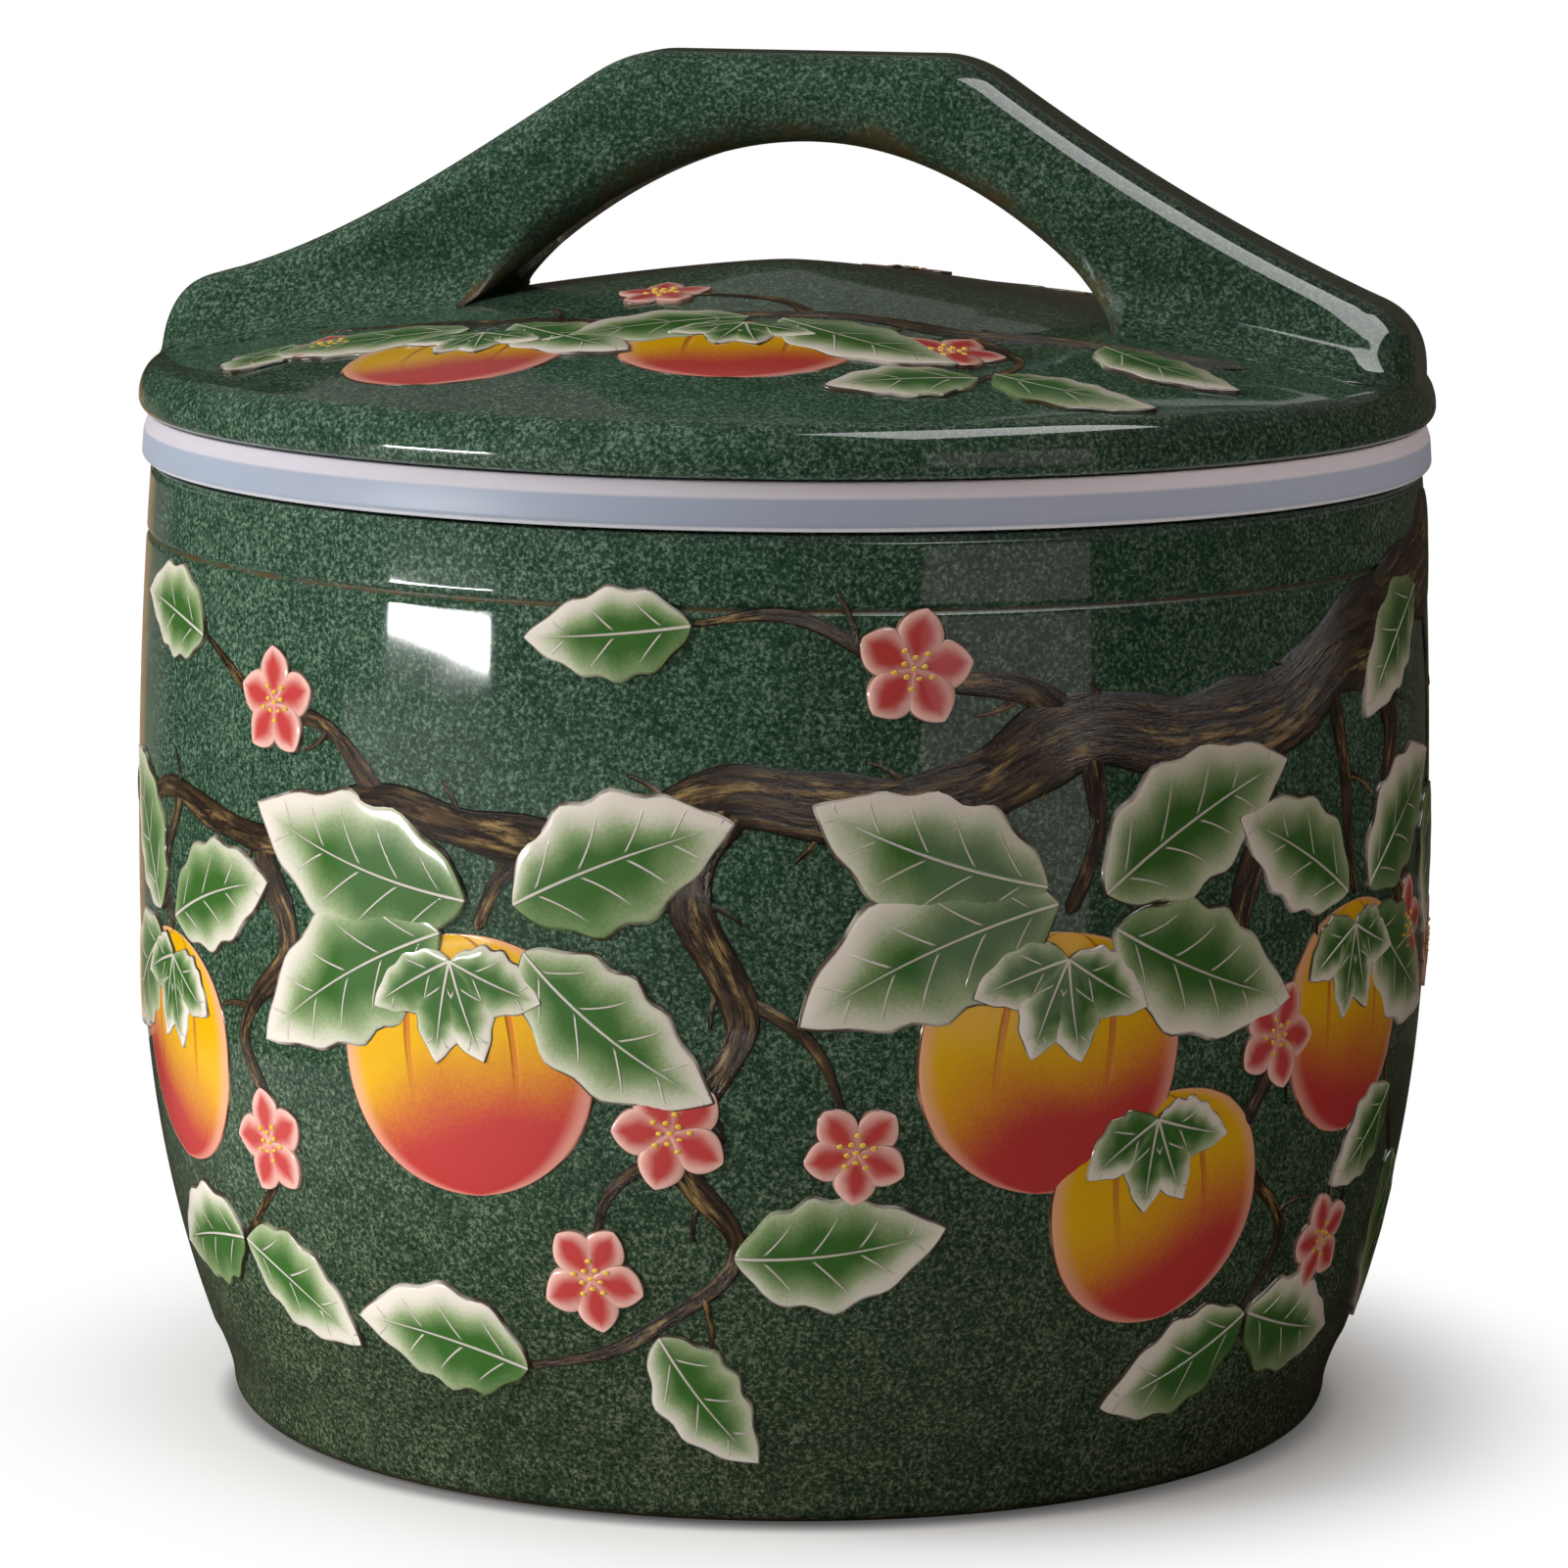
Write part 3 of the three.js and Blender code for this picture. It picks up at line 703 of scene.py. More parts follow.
def jar_coat(jar, profile):
    """Shares of broken glaze, lining and bare clay along the jar's profile. Glaze breaks in the scored line, under
    the ledge, at the waist and low on the foot."""
    radius, height = profile.T
    outside = radius > belly_radius(jar, height) - jar.wall / 2
    score = np.exp(-(((height - jar.score_height + 0.1 * MM) / (0.6 * MM)) ** 2)) * 0.8
    ledge = ease(height, jar.ledge_height - 1.4 * MM, jar.ledge_height) * 0.3
    foot = ease(height, 2.2 * MM, 0.5 * MM) * 0.85
    waist = np.exp(-(((height - jar.waist_height) / (2.5 * MM)) ** 2)) * 0.34
    after_rim = np.arange(len(height)) > np.argmax(height)
    lining = after_rim * ease(height, jar.rim_height - 1.0 * MM, jar.rim_height - 3 * MM)
    lip = ~after_rim & (height > jar.ledge_height - 0.1 * MM)
    ring = jar.foot_radius - jar.foot_round - jar.foot_ring / 2
    bare = ease(np.abs(radius - ring), jar.foot_ring * 0.75, jar.foot_ring * 0.6) * (height < 0.5 * MM)
    thin = np.max([score, ledge, foot, waist], axis=0)
    broken = np.where(outside & ~after_rim, thin, lip * 0.5)
    return np.stack([broken, lining, bare], 1)


def seal_profile(seal):
    """Closed section of the ring: a bevelled skirt, the web over the rim and a finned sleeve inside the mouth."""
    under = seal.top - seal.web
    skirt_low = seal.top - seal.skirt_depth
    crease = (seal.skirt_radius - seal.bevel / 4, seal.top - seal.shoulder)
    brow = (seal.skirt_radius - seal.bevel, seal.top)
    fins = []
    for count in (2, 1):
        root = under - count * seal.fin_pitch
        tip = seal.sleeve_outside + seal.fin_reach
        fins += [
            (seal.sleeve_outside, root),
            *bezier(5, (tip - 0.3 * MM, root - seal.fin_root / 2), (tip, root - seal.fin_root / 2),
                    (tip, root - seal.fin_root / 4)),
            (seal.sleeve_outside, root + seal.fin_root),
        ]
    soft = 0.5 * MM
    return joined(
        soft_corner(5, (seal.sleeve_inside, seal.bottom), (0, soft), (soft, 0)),
        soft_corner(5, (seal.sleeve_outside, seal.bottom), (-soft, 0), (0, soft)),
        fins,
        soft_corner(6, (seal.sleeve_outside, under), (0, -soft), (soft, 0)),
        soft_corner(6, (seal.skirt_inside, under), (-soft, 0), (0, -soft)),
        soft_corner(5, (seal.skirt_inside, skirt_low), (0, soft), (soft, 0)),
        arc((seal.skirt_radius - seal.lower_round, skirt_low + seal.lower_round),
            (seal.lower_round, seal.lower_round), -90, 0, 12),
        bezier(5, (seal.skirt_radius - 0.28 * MM, crease[1] - 0.3 * MM), crease,
               (crease[0] - 0.09 * MM, crease[1] + 0.3 * MM)),
        soft_corner(6, brow, (0.15 * MM, -soft), (-soft, 0)),
        span((seal.skirt_inside, seal.top), (seal.sleeve_inside + soft, seal.top), 6),
        soft_corner(5, (seal.sleeve_inside, seal.top), (soft, 0), (0, -soft)),
    )


def seal_milk(seal, profile):
    """Share of painted light, which lightens the bevel from the crease up as if lit from above, and share of the
    painted highlight along the lower edge.
    """
    height = profile[:, 1]
    crease = seal.top - seal.shoulder
    milk = ease(height, crease - 0.25 * MM, crease + 0.25 * MM)
    lip = ease(height, seal.top - seal.skirt_depth + 1.0 * MM, seal.top - seal.skirt_depth + 0.5 * MM)
    return np.stack([milk, lip, 0 * milk], 1)


def lid_levels(lid):
    """Heights of the lid's underside and of the dome's foot, and the dome's radius."""
    underside = lid.flange_foot + lid.flange_depth
    return underside, underside + lid.edge_low + lid.edge_high, lid.radius - lid.edge_depth


def lid_top(lid, radius):
    """The dome falls from its crown by a power of the radius, and outside it the edge is a quarter ellipse."""
    _, dome_foot, dome_radius = lid_levels(lid)
    inner = np.clip(radius / dome_radius, 0, 1) ** lid.dome_peak
    outer = np.clip((radius - dome_radius) / lid.edge_depth, 0, 1)
    return lid.crown - (lid.crown - dome_foot) * inner - lid.edge_high * (1 - np.sqrt(1 - outer**2))


def lid_profile(lid):
    """Half section of the lid, from under the crown out along the flange, round the edge and up the dome."""
    underside, _, dome_radius = lid_levels(lid)
    flange_inside = lid.flange_radius - lid.flange_wall
    under = span(0, flange_inside - 3 * MM, 26)
    under = np.stack([under, lid_top(lid, under) - lid.wall], 1)
    corner = (flange_inside, lid_top(lid, flange_inside) - lid.wall)
    dome = dome_radius * (1 - np.linspace(0, 1, 46)) ** 1.3
    dome = np.stack([dome, lid_top(lid, dome)], 1)
    soft = 1.5 * MM
    edge_centre = (dome_radius, underside + lid.edge_low)
    return joined(
        under,
        bezier(7, under[-1], corner, (flange_inside, corner[1] - 3 * MM)),
        span((flange_inside, corner[1] - 3 * MM), (flange_inside, lid.flange_foot + soft), 8),
        soft_corner(6, (flange_inside, lid.flange_foot), (0, soft), (soft, 0)),
        soft_corner(6, (lid.flange_radius, lid.flange_foot), (-soft, 0), (0, soft)),
        span((lid.flange_radius, lid.flange_foot + soft), (lid.flange_radius, underside - 0.5 * MM), 5),
        soft_corner(5, (lid.flange_radius, underside), (0, -0.5 * MM), (0.5 * MM, 0)),
        span((lid.flange_radius + 0.5 * MM, underside), (lid.radius - lid.edge_turn, underside), 6),
        arc((lid.radius - lid.edge_turn, underside + lid.edge_low), (lid.edge_turn, lid.edge_low), -90, 0, 14),
        arc(edge_centre, (lid.edge_depth, lid.edge_high), 0, 84, 18),
        dome[1:],
    )


def lid_coat(lid, profile):
    """Broken glaze along the lid's lower edge; lining under the dome and on the flange."""
    underside, _, dome_radius = lid_levels(lid)
    radius, height = profile.T
    before_edge = np.arange(len(height)) < np.argmax(radius)
    lining = before_edge * ease(radius, dome_radius, dome_radius - 1.5 * MM)
    brink = np.exp(-(((height - underside - lid.edge_low * 0.7) / (1.6 * MM)) ** 2)) * 0.36
    broken = np.where(radius > dome_radius, brink, 0)
    return np.stack([broken, lining, np.zeros_like(broken)], 1)


def handle_edge(handle, lid, end_slope):
    """Half of the handle's upper edge: flat, a rounded corner, a slope that eases off, and a rounded end."""
    dome_foot = lid_levels(lid)[1]
    end = lid.radius - handle.setback
    knee_start = handle.flat + handle.knee / 2
    knee_end = handle.flat + handle.knee
    knee_low = handle.top - (knee_end - knee_start) * math.tan(handle.slope)
    nose_start = end - handle.nose
    nose_top = dome_foot + handle.end_height
    reach = (nose_start - knee_end) / 3
    return joined(
        span((0, handle.top), (handle.flat, handle.top), 10),
        bezier(16, (handle.flat, handle.top), (knee_start, handle.top), (knee_end, knee_low)),
        bezier(40, (knee_end, knee_low), (knee_end + reach, knee_low - reach * math.tan(handle.slope)),
               (nose_start - reach, nose_top + reach * math.tan(end_slope)), (nose_start, nose_top)),
        bezier(30, (nose_start, nose_top), (end, nose_top - handle.nose * math.tan(end_slope)),
               (end, dome_foot)),
    )


def handle_mesh(handle, lid):
    """The bridge as a loft along X: each upright section is a rounded rectangle from the arch, or from inside the
    dome, up to the handle's edge. Near the dome its sides spread by a quarter circle, and its top leans over."""
    dome_foot = lid_levels(lid)[1]
    right, left = (resampled(handle_edge(handle, lid, slope), 131) for slope in (handle.right_slope, handle.left_slope))
    edge = np.concatenate([left[:0:-1] * (-1, 1), right])
    x, top = edge[:, :1], edge[:, 1:]
    end = lid.radius - handle.setback
    buried = lid_top(lid, np.abs(x)) - 2.5 * MM
    arch = lid.crown + handle.finger_clearance - (x - handle.arch_shift) ** 2 / (2 * handle.arch_radius)
    low = np.maximum(arch, buried)
    over = np.clip(np.abs(x) - end + handle.rounding, 0, handle.rounding)
    end_loss = handle.rounding - np.sqrt(np.maximum(handle.rounding**2 - over**2, 0))
    half = np.maximum(handle.thickness / 2 - end_loss * 0.9, 2 * MM)
    upper = np.minimum(handle.rounding, (top - low) * 0.49)
    lower = np.minimum(np.clip((low - buried) * 0.8, 0.4 * MM, handle.rounding), (top - low) * 0.49)
    turn = np.radians(np.linspace(0, 90, 11))[None, :]
    flat = np.linspace(0, 1, 6)[None, :-1]
    side = 1 - (1 - np.linspace(0, 1, 24)[None, 1:-1]) ** 1.6
    y = np.concatenate([
        flat * (half - upper),
        half - upper + upper * np.sin(turn),
        half + 0 * side,
        half - lower + lower * np.cos(turn),
        (half - lower) * (1 - flat[:, 1:]),
    ], 1)
    z = np.concatenate([
        top + 0 * flat,
        top - upper + upper * np.cos(turn),
        (top - upper) + (low + lower - top + upper) * side,
        low + lower - lower * np.sin(turn),
        low + 0 * flat[:, 1:],
    ], 1)
    y = np.concatenate([y, 0 * x, -y[:, :0:-1]], 1)
    z = np.concatenate([z, low, z[:, :0:-1]], 1)
    rise = np.clip((z - dome_foot) / (handle.top - dome_foot), 0, 1)
    y = y * (1 + (handle.top_thickness / handle.thickness - 1) * rise)
    gap = np.clip(z - lid_top(lid, np.hypot(x, y)), 0, handle.fillet)
    flare = handle.fillet - np.sqrt(handle.fillet**2 - (handle.fillet - gap) ** 2)
    fade = np.sqrt(np.clip((end - np.abs(x)) / (10 * MM), 0, 1))
    y = y + np.sign(y) * flare * fade * np.minimum(np.abs(y) / (4 * MM), 1)
    points = np.stack([x + handle.lean * rise, y, z], -1)
    rows, columns = z.shape
    hubs = points[[0, -1]].mean(1)
    ring = np.arange(columns)
    faces = grid_faces(rows, columns)[:, ::-1].tolist()
    faces += fan_faces(rows * columns, ring).tolist()
    faces += fan_faces(rows * columns + 1, ring[::-1] + (rows - 1) * columns).tolist()
    under = np.exp(-(((z - low) / (6.5 * MM)) ** 2)) * (np.abs(y) > half * 0.45) * (low > buried + MM)
    coat = np.zeros((rows, columns, 3))
    coat[..., 0] = under * 0.72
    coat = np.concatenate([coat.reshape(-1, 3), np.zeros((2, 3))])
    return np.concatenate([points.reshape(-1, 3), hubs]), faces, coat


# The branch goes round the jar in two like halves. Wall places are (arc length from the middle of a half, height)
# and lid places are (x, y), both in millimetres; angles are in degrees, with 0 to the right and 90 upwards.
JAR_BRANCHES = (  # path, half width at its start and at its end
    (((178, 168), (152, 159), (120, 151), (86, 139), (54, 141), (22, 129), (-8, 131), (-40, 121), (-72, 126),
      (-104, 116), (-134, 121), (-165, 114), (-186, 118)), 11.5, 1.2),
    (((86, 139), (93, 122), (86, 104), (98, 86), (90, 66), (104, 48), (98, 33)), 4.2, 0.9),
    (((-8, 131), (-16, 112), (-6, 92), (-18, 72), (-8, 52), (-24, 36), (-48, 28)), 4.6, 0.8),
    (((-104, 116), (-97, 98), (-110, 80), (-101, 60), (-118, 42)), 3.4, 0.8),
    (((120, 151), (136, 136), (131, 116), (147, 96), (140, 72), (152, 54)), 3.8, 0.8),
    (((54, 141), (38, 150), (20, 152), (2, 162), (-16, 160)), 3.0, 0.7),
    (((-72, 126), (-88, 138), (-104, 140), (-124, 150)), 2.6, 0.7),
    (((54, 141), (56, 126), (50, 110)), 2.6, 1.4),
    (((-44, 121), (-50, 114), (-54, 106)), 2.4, 1.4),
    (((-134, 121), (-141, 108), (-138, 95)), 2.2, 1.3),
    (((112, 152), (116, 128), (121, 106)), 2.6, 1.3),
    (((92, 124), (104, 114), (108, 100)), 1.8, 0.6),
    (((-10, 98), (6, 88), (12, 72)), 1.8, 0.6),
    (((-16, 70), (-30, 62), (-34, 48)), 1.6, 0.6),
    (((140, 76), (124, 62), (120, 44)), 1.6, 0.6),
    (((158, 160), (166, 142), (165, 120)), 2.4, 0.8),
    (((147, 97), (160, 97), (172, 90)), 1.8, 0.6),
    (((98, 90), (106, 74), (112, 66)), 1.4, 0.6),
)
JAR_LEAVES = (  # place, angle, length, half width, bend
    (48, 112, 204, 50, 13, 24), (46, 115, 160, 44, 12, -18), (57, 113, 26, 46, 12.5, -24), (59, 107, -22, 44, 12, 18),
    (-56, 111, 166, 50, 13, -18), (-61, 105, 210, 48, 12.5, 18), (-47, 111, 22, 42, 12, -14),
    (-45, 103, -36, 42, 11, 24), (-135, 98, 18, 36, 10, -18), (-143, 98, 128, 34, 10, 12), (-143, 93, 216, 36, 10, 18),
    (117, 107, 152, 36, 10, 14), (125, 107, 30, 40, 11, -18), (127, 101, -32, 40, 10.5, 14),
    (-48, 28, 172, 38, 10, 18), (-8, 51, 8, 38, 10.5, 20), (-22, 36, -52, 30, 8.5, 20),
    (98, 33, 202, 36, 9.5, -18), (99, 33, -14, 36, 9.5, 14), (-118, 42, 192, 36, 9.5, 14), (-117, 42, -26, 34, 9, -14),
    (152, 54, -72, 36, 9.5, 14), (141, 68, 215, 26, 8, -14), (-16, 160, 186, 30, 8, -6), (-124, 150, 172, 32, 8.5, 14),
    (165, 120, -95, 28, 8.5, 8), (150, 158, 218, 34, 9.5, 20),
)
JAR_FRUIT = (  # middle, tilt, height, half width
    (72, 56, 10, 42, 23), (48, 84, -6, 46, 25), (-57, 82, 6, 46, 25), (-138, 74, -6, 42, 22), (121, 84, 4, 42, 21),
)
JAR_BLOSSOMS = (  # middle, turn, petal length
    (22, 153, 10, 9.5), (-19, 73, 40, 9.5), (-100, 141, 20, 9), (-34, 46, 60, 9), (97, 84, 0, 9), (-104, 62, 30, 9),
    (146, 96, 15, 9), (13, 70, 50, 8.5), (120, 43, 35, 8.5), (172, 90, 35, 8.5),
)
LID_BRANCHES = (
    (((90, -34), (66, -40), (42, -47), (14, -45), (-14, -53), (-42, -48), (-66, -55), (-84, -50)), 4.2, 0.8),
    (((42, -47), (54, -62), (50, -78)), 2.2, 0.7),
    (((-42, -48), (-62, -40), (-80, -34)), 1.8, 0.6),
    (((14, -45), (4, -36), (-16, -32)), 1.6, 0.6),
)
LID_LEAVES = (
    (4, -52, 205, 38, 10.5, 14), (10, -52, -28, 40, 11, 20), (-46, -55, 186, 40, 10.5, 18),
    (-38, -54, -40, 34, 9.5, 14), (66, -42, -28, 30, 9.5, 30), (50, -78, -150, 28, 9, 14),
    (52, -74, -10, 30, 9, 24), (-80, -50, 252, 20, 7.5, 10),
)
LID_FRUIT = ((6, -71, 6, 36, 21), (-44, -74, -8, 36, 20))
LID_BLOSSOMS = ((42, -62, 10, 9), (-72, -54, 30, 9), (-16, -33, 20, 8))


def on_wall(jar, turn):
    """Places on the jar: arc length over the belly's radius gives the angle, and height stays height. A rise
    follows the wall's normal, the slope of the belly's curve turned a quarter."""

    def place(along, up, rise):
        angle = turn + along / jar.belly_radius
        slope = (belly_radius(jar, up + 1e-5) - belly_radius(jar, up - 1e-5)) / 2e-5
        scale = rise / np.hypot(1, slope)
        radius = belly_radius(jar, up) + scale
        return np.stack([radius * np.sin(angle), -radius * np.cos(angle), up - scale * slope], -1)

    return place


def on_dome(lid, turn):
    """Places on the lid: (x, y) turned about the axis, on the dome, with a rise along the dome's normal."""

    def place(along, up, rise):
        radius = np.hypot(along, up)
        slope = (lid_top(lid, radius + 1e-5) - lid_top(lid, radius - 1e-5)) / 2e-5
        scale = rise / np.hypot(1, slope)
        out = 1 - scale * slope / np.maximum(radius, MM)
        x, y = along * out, up * out
        cosine, sine = math.cos(turn), math.sin(turn)
        return np.stack([x * cosine - y * sine, x * sine + y * cosine, lid_top(lid, radius) + scale], -1)

    return place


class Relief:
    """Enamel fields gathered into one mesh. Each field is a strip along a path: across the path its section is a
    low crown, the sine of a half turn to a power, and a shallow keel that sits in the clay."""

    def __init__(self, seed):
        self.random = np.random.default_rng(seed)
        self.points, self.faces, self.brush, self.spot = [], [], [], []
        self.count = 0

    def field(self, surface, path, half, rise, base=0.0, crown=0.6, ring=16, fade=1.0):
        """Adds one strip: its path, half widths and rises in millimetres, one of each per station, or two half
        widths where the margins differ. A higher fade makes the margin's fading narrower."""
        path, half = np.asarray(path), np.reshape(half, (len(path), -1))
        way = np.gradient(path, axis=0)
        way /= np.linalg.norm(way, axis=1)[:, None] + 1e-9
        turn = np.linspace(0, 2 * np.pi, ring, endpoint=False)
        across, lift = np.cos(turn), np.sin(turn)
        half = np.where(across > 0, half[:, :1], half[:, -1:])
        place = path[:, None] + (half * across)[..., None] * np.stack([-way[:, 1], way[:, 0]], 1)[:, None]
        crest = np.abs(lift) ** crown * (rise[:, None] + base)
        height = np.where(lift > 0, crest, -0.3 * np.abs(lift) - 0.05)
        run = np.concatenate([[0], np.cumsum(np.linalg.norm(np.diff(path, axis=0), axis=1))])
        rows = len(path)
        flat = np.ones((rows, ring))
        rim = half * (1 - np.abs(across)) * fade
        brush = np.stack([(run / run[-1])[:, None] * flat, across * flat, rim], -1)
        spot = np.stack([run[:, None] * flat, half * across, self.random.random() * flat], -1)
        points = surface(place[..., 0] * MM, place[..., 1] * MM, height * MM)
        ends = surface(path[[0, -1], 0] * MM, path[[0, -1], 1] * MM, np.zeros(2))
        hub = self.count + rows * ring
        around = np.arange(ring)
        self.faces += (grid_faces(rows, ring) + self.count).tolist()
        self.faces += fan_faces(hub, around[::-1] + self.count).tolist()
        self.faces += fan_faces(hub + 1, around + hub - ring).tolist()
        self.points += [points.reshape(-1, 3), ends]
        self.brush += [brush.reshape(-1, 3), brush[[0, -1], 0]]
        self.spot += [spot.reshape(-1, 3), spot[[0, -1], 0]]
        self.count = hub + 2

    def piece(self, name, finish, body, slot):
        brush, spot = np.concatenate(self.brush), np.concatenate(self.spot)
        return add_piece(name, np.concatenate(self.points), self.faces, finish, body, slot, brush=brush, spot=spot)

    def branch(self, surface, points, start, end):
        """A gnarled limb: its half width tapers along the path and swells by two sine waves of unlike length.
        Short spurs leave it on either side."""
        path = smooth_path(points, 30 + 12 * len(points))
        t = np.linspace(0, 1, len(path))
        size = np.linalg.norm(np.diff(path, axis=0), axis=1).sum()
        phase = self.random.random(3) * 6
        swell = 0.10 * np.sin(t * size / 7 + phase[0]) + 0.07 * np.sin(t * size / 3.1 + phase[1])
        half = (start + (end - start) * t**0.75) * (1 + swell)
        half *= np.sqrt(np.clip(np.minimum(t, 1 - t) * size / half, 0.05, 1))
        sway = np.gradient(path, axis=0)
        sway /= np.linalg.norm(sway, axis=1)[:, None]
        wander = np.minimum(half, 2.0) * 0.35 * np.sin(t * size / 5.3 + phase[2])
        path = path + np.stack([-sway[:, 1], sway[:, 0]], 1) * wander[:, None]
        self.field(surface, path, half, np.clip(half * 0.16, 0.25, 0.6), crown=0.75, ring=14)
        return path, half

    def spurs(self, surface, path, half, spacing=20):
        """Bare side twigs at about even steps, each bent towards the limb's tip."""
        size = np.linalg.norm(np.diff(path, axis=0), axis=1).sum()
        for index in range(1, int(size / spacing)):
            at = int(len(path) * (index + self.random.uniform(-0.3, 0.3)) * spacing / size)
            way = np.degrees(np.arctan2(*(path[min(at + 1, len(path) - 1)] - path[at - 1])[::-1]))
            side = 1 if (index % 2) else -1
            reach = self.random.uniform(6, 13)
            twig = bent_path(path[at], way + side * self.random.uniform(38, 70), reach, -side * 40, 12)
            self.field(surface, twig, np.linspace(min(half[at] * 0.5, 0.9), 0.3, 12), np.full(12, 0.25), ring=8)

    def leaf(self, surface, x, y, angle, size, width, bend, base=0.45):
        """A pointed oval: half width is the sine of a half turn of a power of the length, with a waving margin on
        either side, along a path of even bend."""
        t = (1 - np.cos(np.linspace(0, np.pi, 38))) / 2
        path = bent_path((x, y), angle, size, bend, t)
        wave = 1 + 0.09 * np.sin(t[:, None] * (29, 25) + self.random.random(2) * 6) * (1 - t[:, None] / 2)
        half = width * np.sin(np.pi * t[:, None]**0.82) ** 0.8 * wave + 0.05
        self.field(surface, path, half, np.full(38, 0.4), base, crown=0.4, ring=24, fade=11 / width)

    def fruit(self, surface, x, y, tilt, size, width):
        """A full round fruit: half width is a rounded square of the length, flat at the top, lightly pointed below."""
        t = (1 - np.cos(np.linspace(0, np.pi, 44))) / 2
        angle = math.radians(tilt - 90)
        way = np.array([math.cos(angle), math.sin(angle)])
        path = np.array([x, y]) + way * (t[:, None] - 0.5) * size
        half = width * (1 - np.abs(2 * t**0.92 - 1) ** 2.3) ** 0.5 + 0.05
        rise = 0.6 * np.sin(np.pi * np.clip(t, 0.02, 0.98)) ** 0.4
        self.field(surface, path, half, rise, crown=0.55, ring=40)

    def blossom(self, surface, x, y, turn, size):
        """Five petals round a middle: each a strip whose half width rises to a blunt, rounded end."""
        t = (1 - np.cos(np.linspace(0, np.pi, 20))) / 2
        for petal in range(5):
            angle = turn + 72 * petal + self.random.uniform(-6, 6)
            path = bent_path((x, y), angle, size * 1.1, self.random.uniform(-12, 12), t)
            half = size * 0.47 * np.sin(np.pi * t**1.2) ** 0.62 * (1 - 0.1 * t**8) + 0.05
            self.field(surface, path, half, np.full(20, 0.3), 0.3 + 0.05 * petal, crown=0.45, ring=16)

    def stamens(self, surface, x, y, turn, size):
        """Dots of slip on two rings round a blossom's middle."""
        for index in range(11):
            angle = math.radians(turn + 36 * index)
            reach = size * (0.36 if index % 2 else 0.2) if index < 10 else 0
            start = np.array([x + reach * math.cos(angle), y + reach * math.sin(angle)])
            t = np.linspace(-0.9, 0.9, 5)
            path = start + t[:, None] * np.array([0.6, 0.0])
            self.field(surface, path, 0.6 * np.sqrt(1 - t**2), np.full(5, 0.25), 0.7, crown=0.7, ring=8)


def bent_path(start, angle, size, bend, steps):
    """A path whose direction turns evenly by the bend, from half of it before the angle to half of it after."""
    t = np.linspace(0, 1, steps) if np.isscalar(steps) else steps
    fine = np.linspace(0, 1, 60)
    way = np.radians(angle + bend * (fine - 0.5))
    legs = np.stack([np.cos(way), np.sin(way)], 1) * size / 59
    places = np.concatenate([[[0, 0]], np.cumsum((legs[1:] + legs[:-1]) / 2, 0)])
    return np.array(start) + np.stack([np.interp(t, fine, column) for column in places.T], 1)


def painted_surfaces(scene):
    """The four halves that carry the branch: two of the jar, from the camera's side, and two of the lid."""
    jar, lid, facing = scene.canister_jar, scene.canister_lid, scene.canister_stage.azimuth
    return {
        "jar": [on_wall(jar, facing), on_wall(jar, facing + math.pi)],
        "lid": [on_dome(lid, 0), on_dome(lid, math.pi)],
    }


def paint(context, name, make, seed, layouts, stroke):
    """One mesh of enamel on the jar and one on the lid: the stroke is laid for each place of each layout."""
    finish = finish_of(make, context.scene.canister_finish)
    for body, surfaces in painted_surfaces(context.scene).items():
        relief = Relief(seed)
        for surface in surfaces:
            for place in layouts[body]:
                stroke(relief, surface, *place)
        relief.piece(f"{body}_{name}", finish, body, f"{body}_glaze")


def far_card(stage):
    """A card bent round the far side: points at one radius over an arc of angles, in four rows, with a brown band and
    a white one low on its left."""
    columns = 56
    reach = np.linspace(-110, 110, columns)
    angle = stage.azimuth + math.pi + np.radians(reach)
    levels = np.array([0, 0.45, 0.56, 1])[:, None, None] * (0, 0, stage.flag_height)
    points = np.stack([np.sin(angle), -np.cos(angle), 0 * angle], 1) * stage.flag_radius + levels
    low = np.array([1, 1, 0, 0])[:, None]
    brown = low * ease(reach, 20, 26) * ease(reach, 44, 37)
    white = low * ease(reach, 37, 44) * ease(reach, 60, 50) * 0.4
    shade = np.stack([brown, white, 0 * white], -1)
    first = (np.arange(len(levels) - 1)[:, None] * columns + np.arange(columns - 1)).reshape(-1)
    faces = np.stack([first, first + 1, first + columns + 1, first + columns], 1)
    return points.reshape(-1, 3), faces.tolist(), shade.reshape(-1, 3)


def floor_dish(stage):
    """A wide dish on the floor: rings of points about the axis, at radii in geometric steps, and a last ring above
    them for the dish's side. It is white on the left by a bump of the angle."""
    rings, columns = 16, 96
    turn = np.linspace(-np.pi, np.pi, columns, endpoint=False)
    radius = np.append(np.geomspace(stage.dish_inside, stage.dish_radius, rings), stage.dish_radius)[:, None]
    height = np.append(np.full(rings, stage.floor_drop), stage.dish_height)[:, None] + 0 * turn
    angle = stage.azimuth + turn
    points = np.stack([radius * np.sin(angle), -radius * np.cos(angle), height], -1)
    white = np.exp(-(((np.degrees(turn) + 70) / 48) ** 4)) * ease(radius, 0.16, 0.3) * 0.5
    shade = np.stack([0 * white, white, 0 * white], -1)
    return points.reshape(-1, 3), grid_faces(rings + 1, columns).tolist(), shade.reshape(-1, 3)


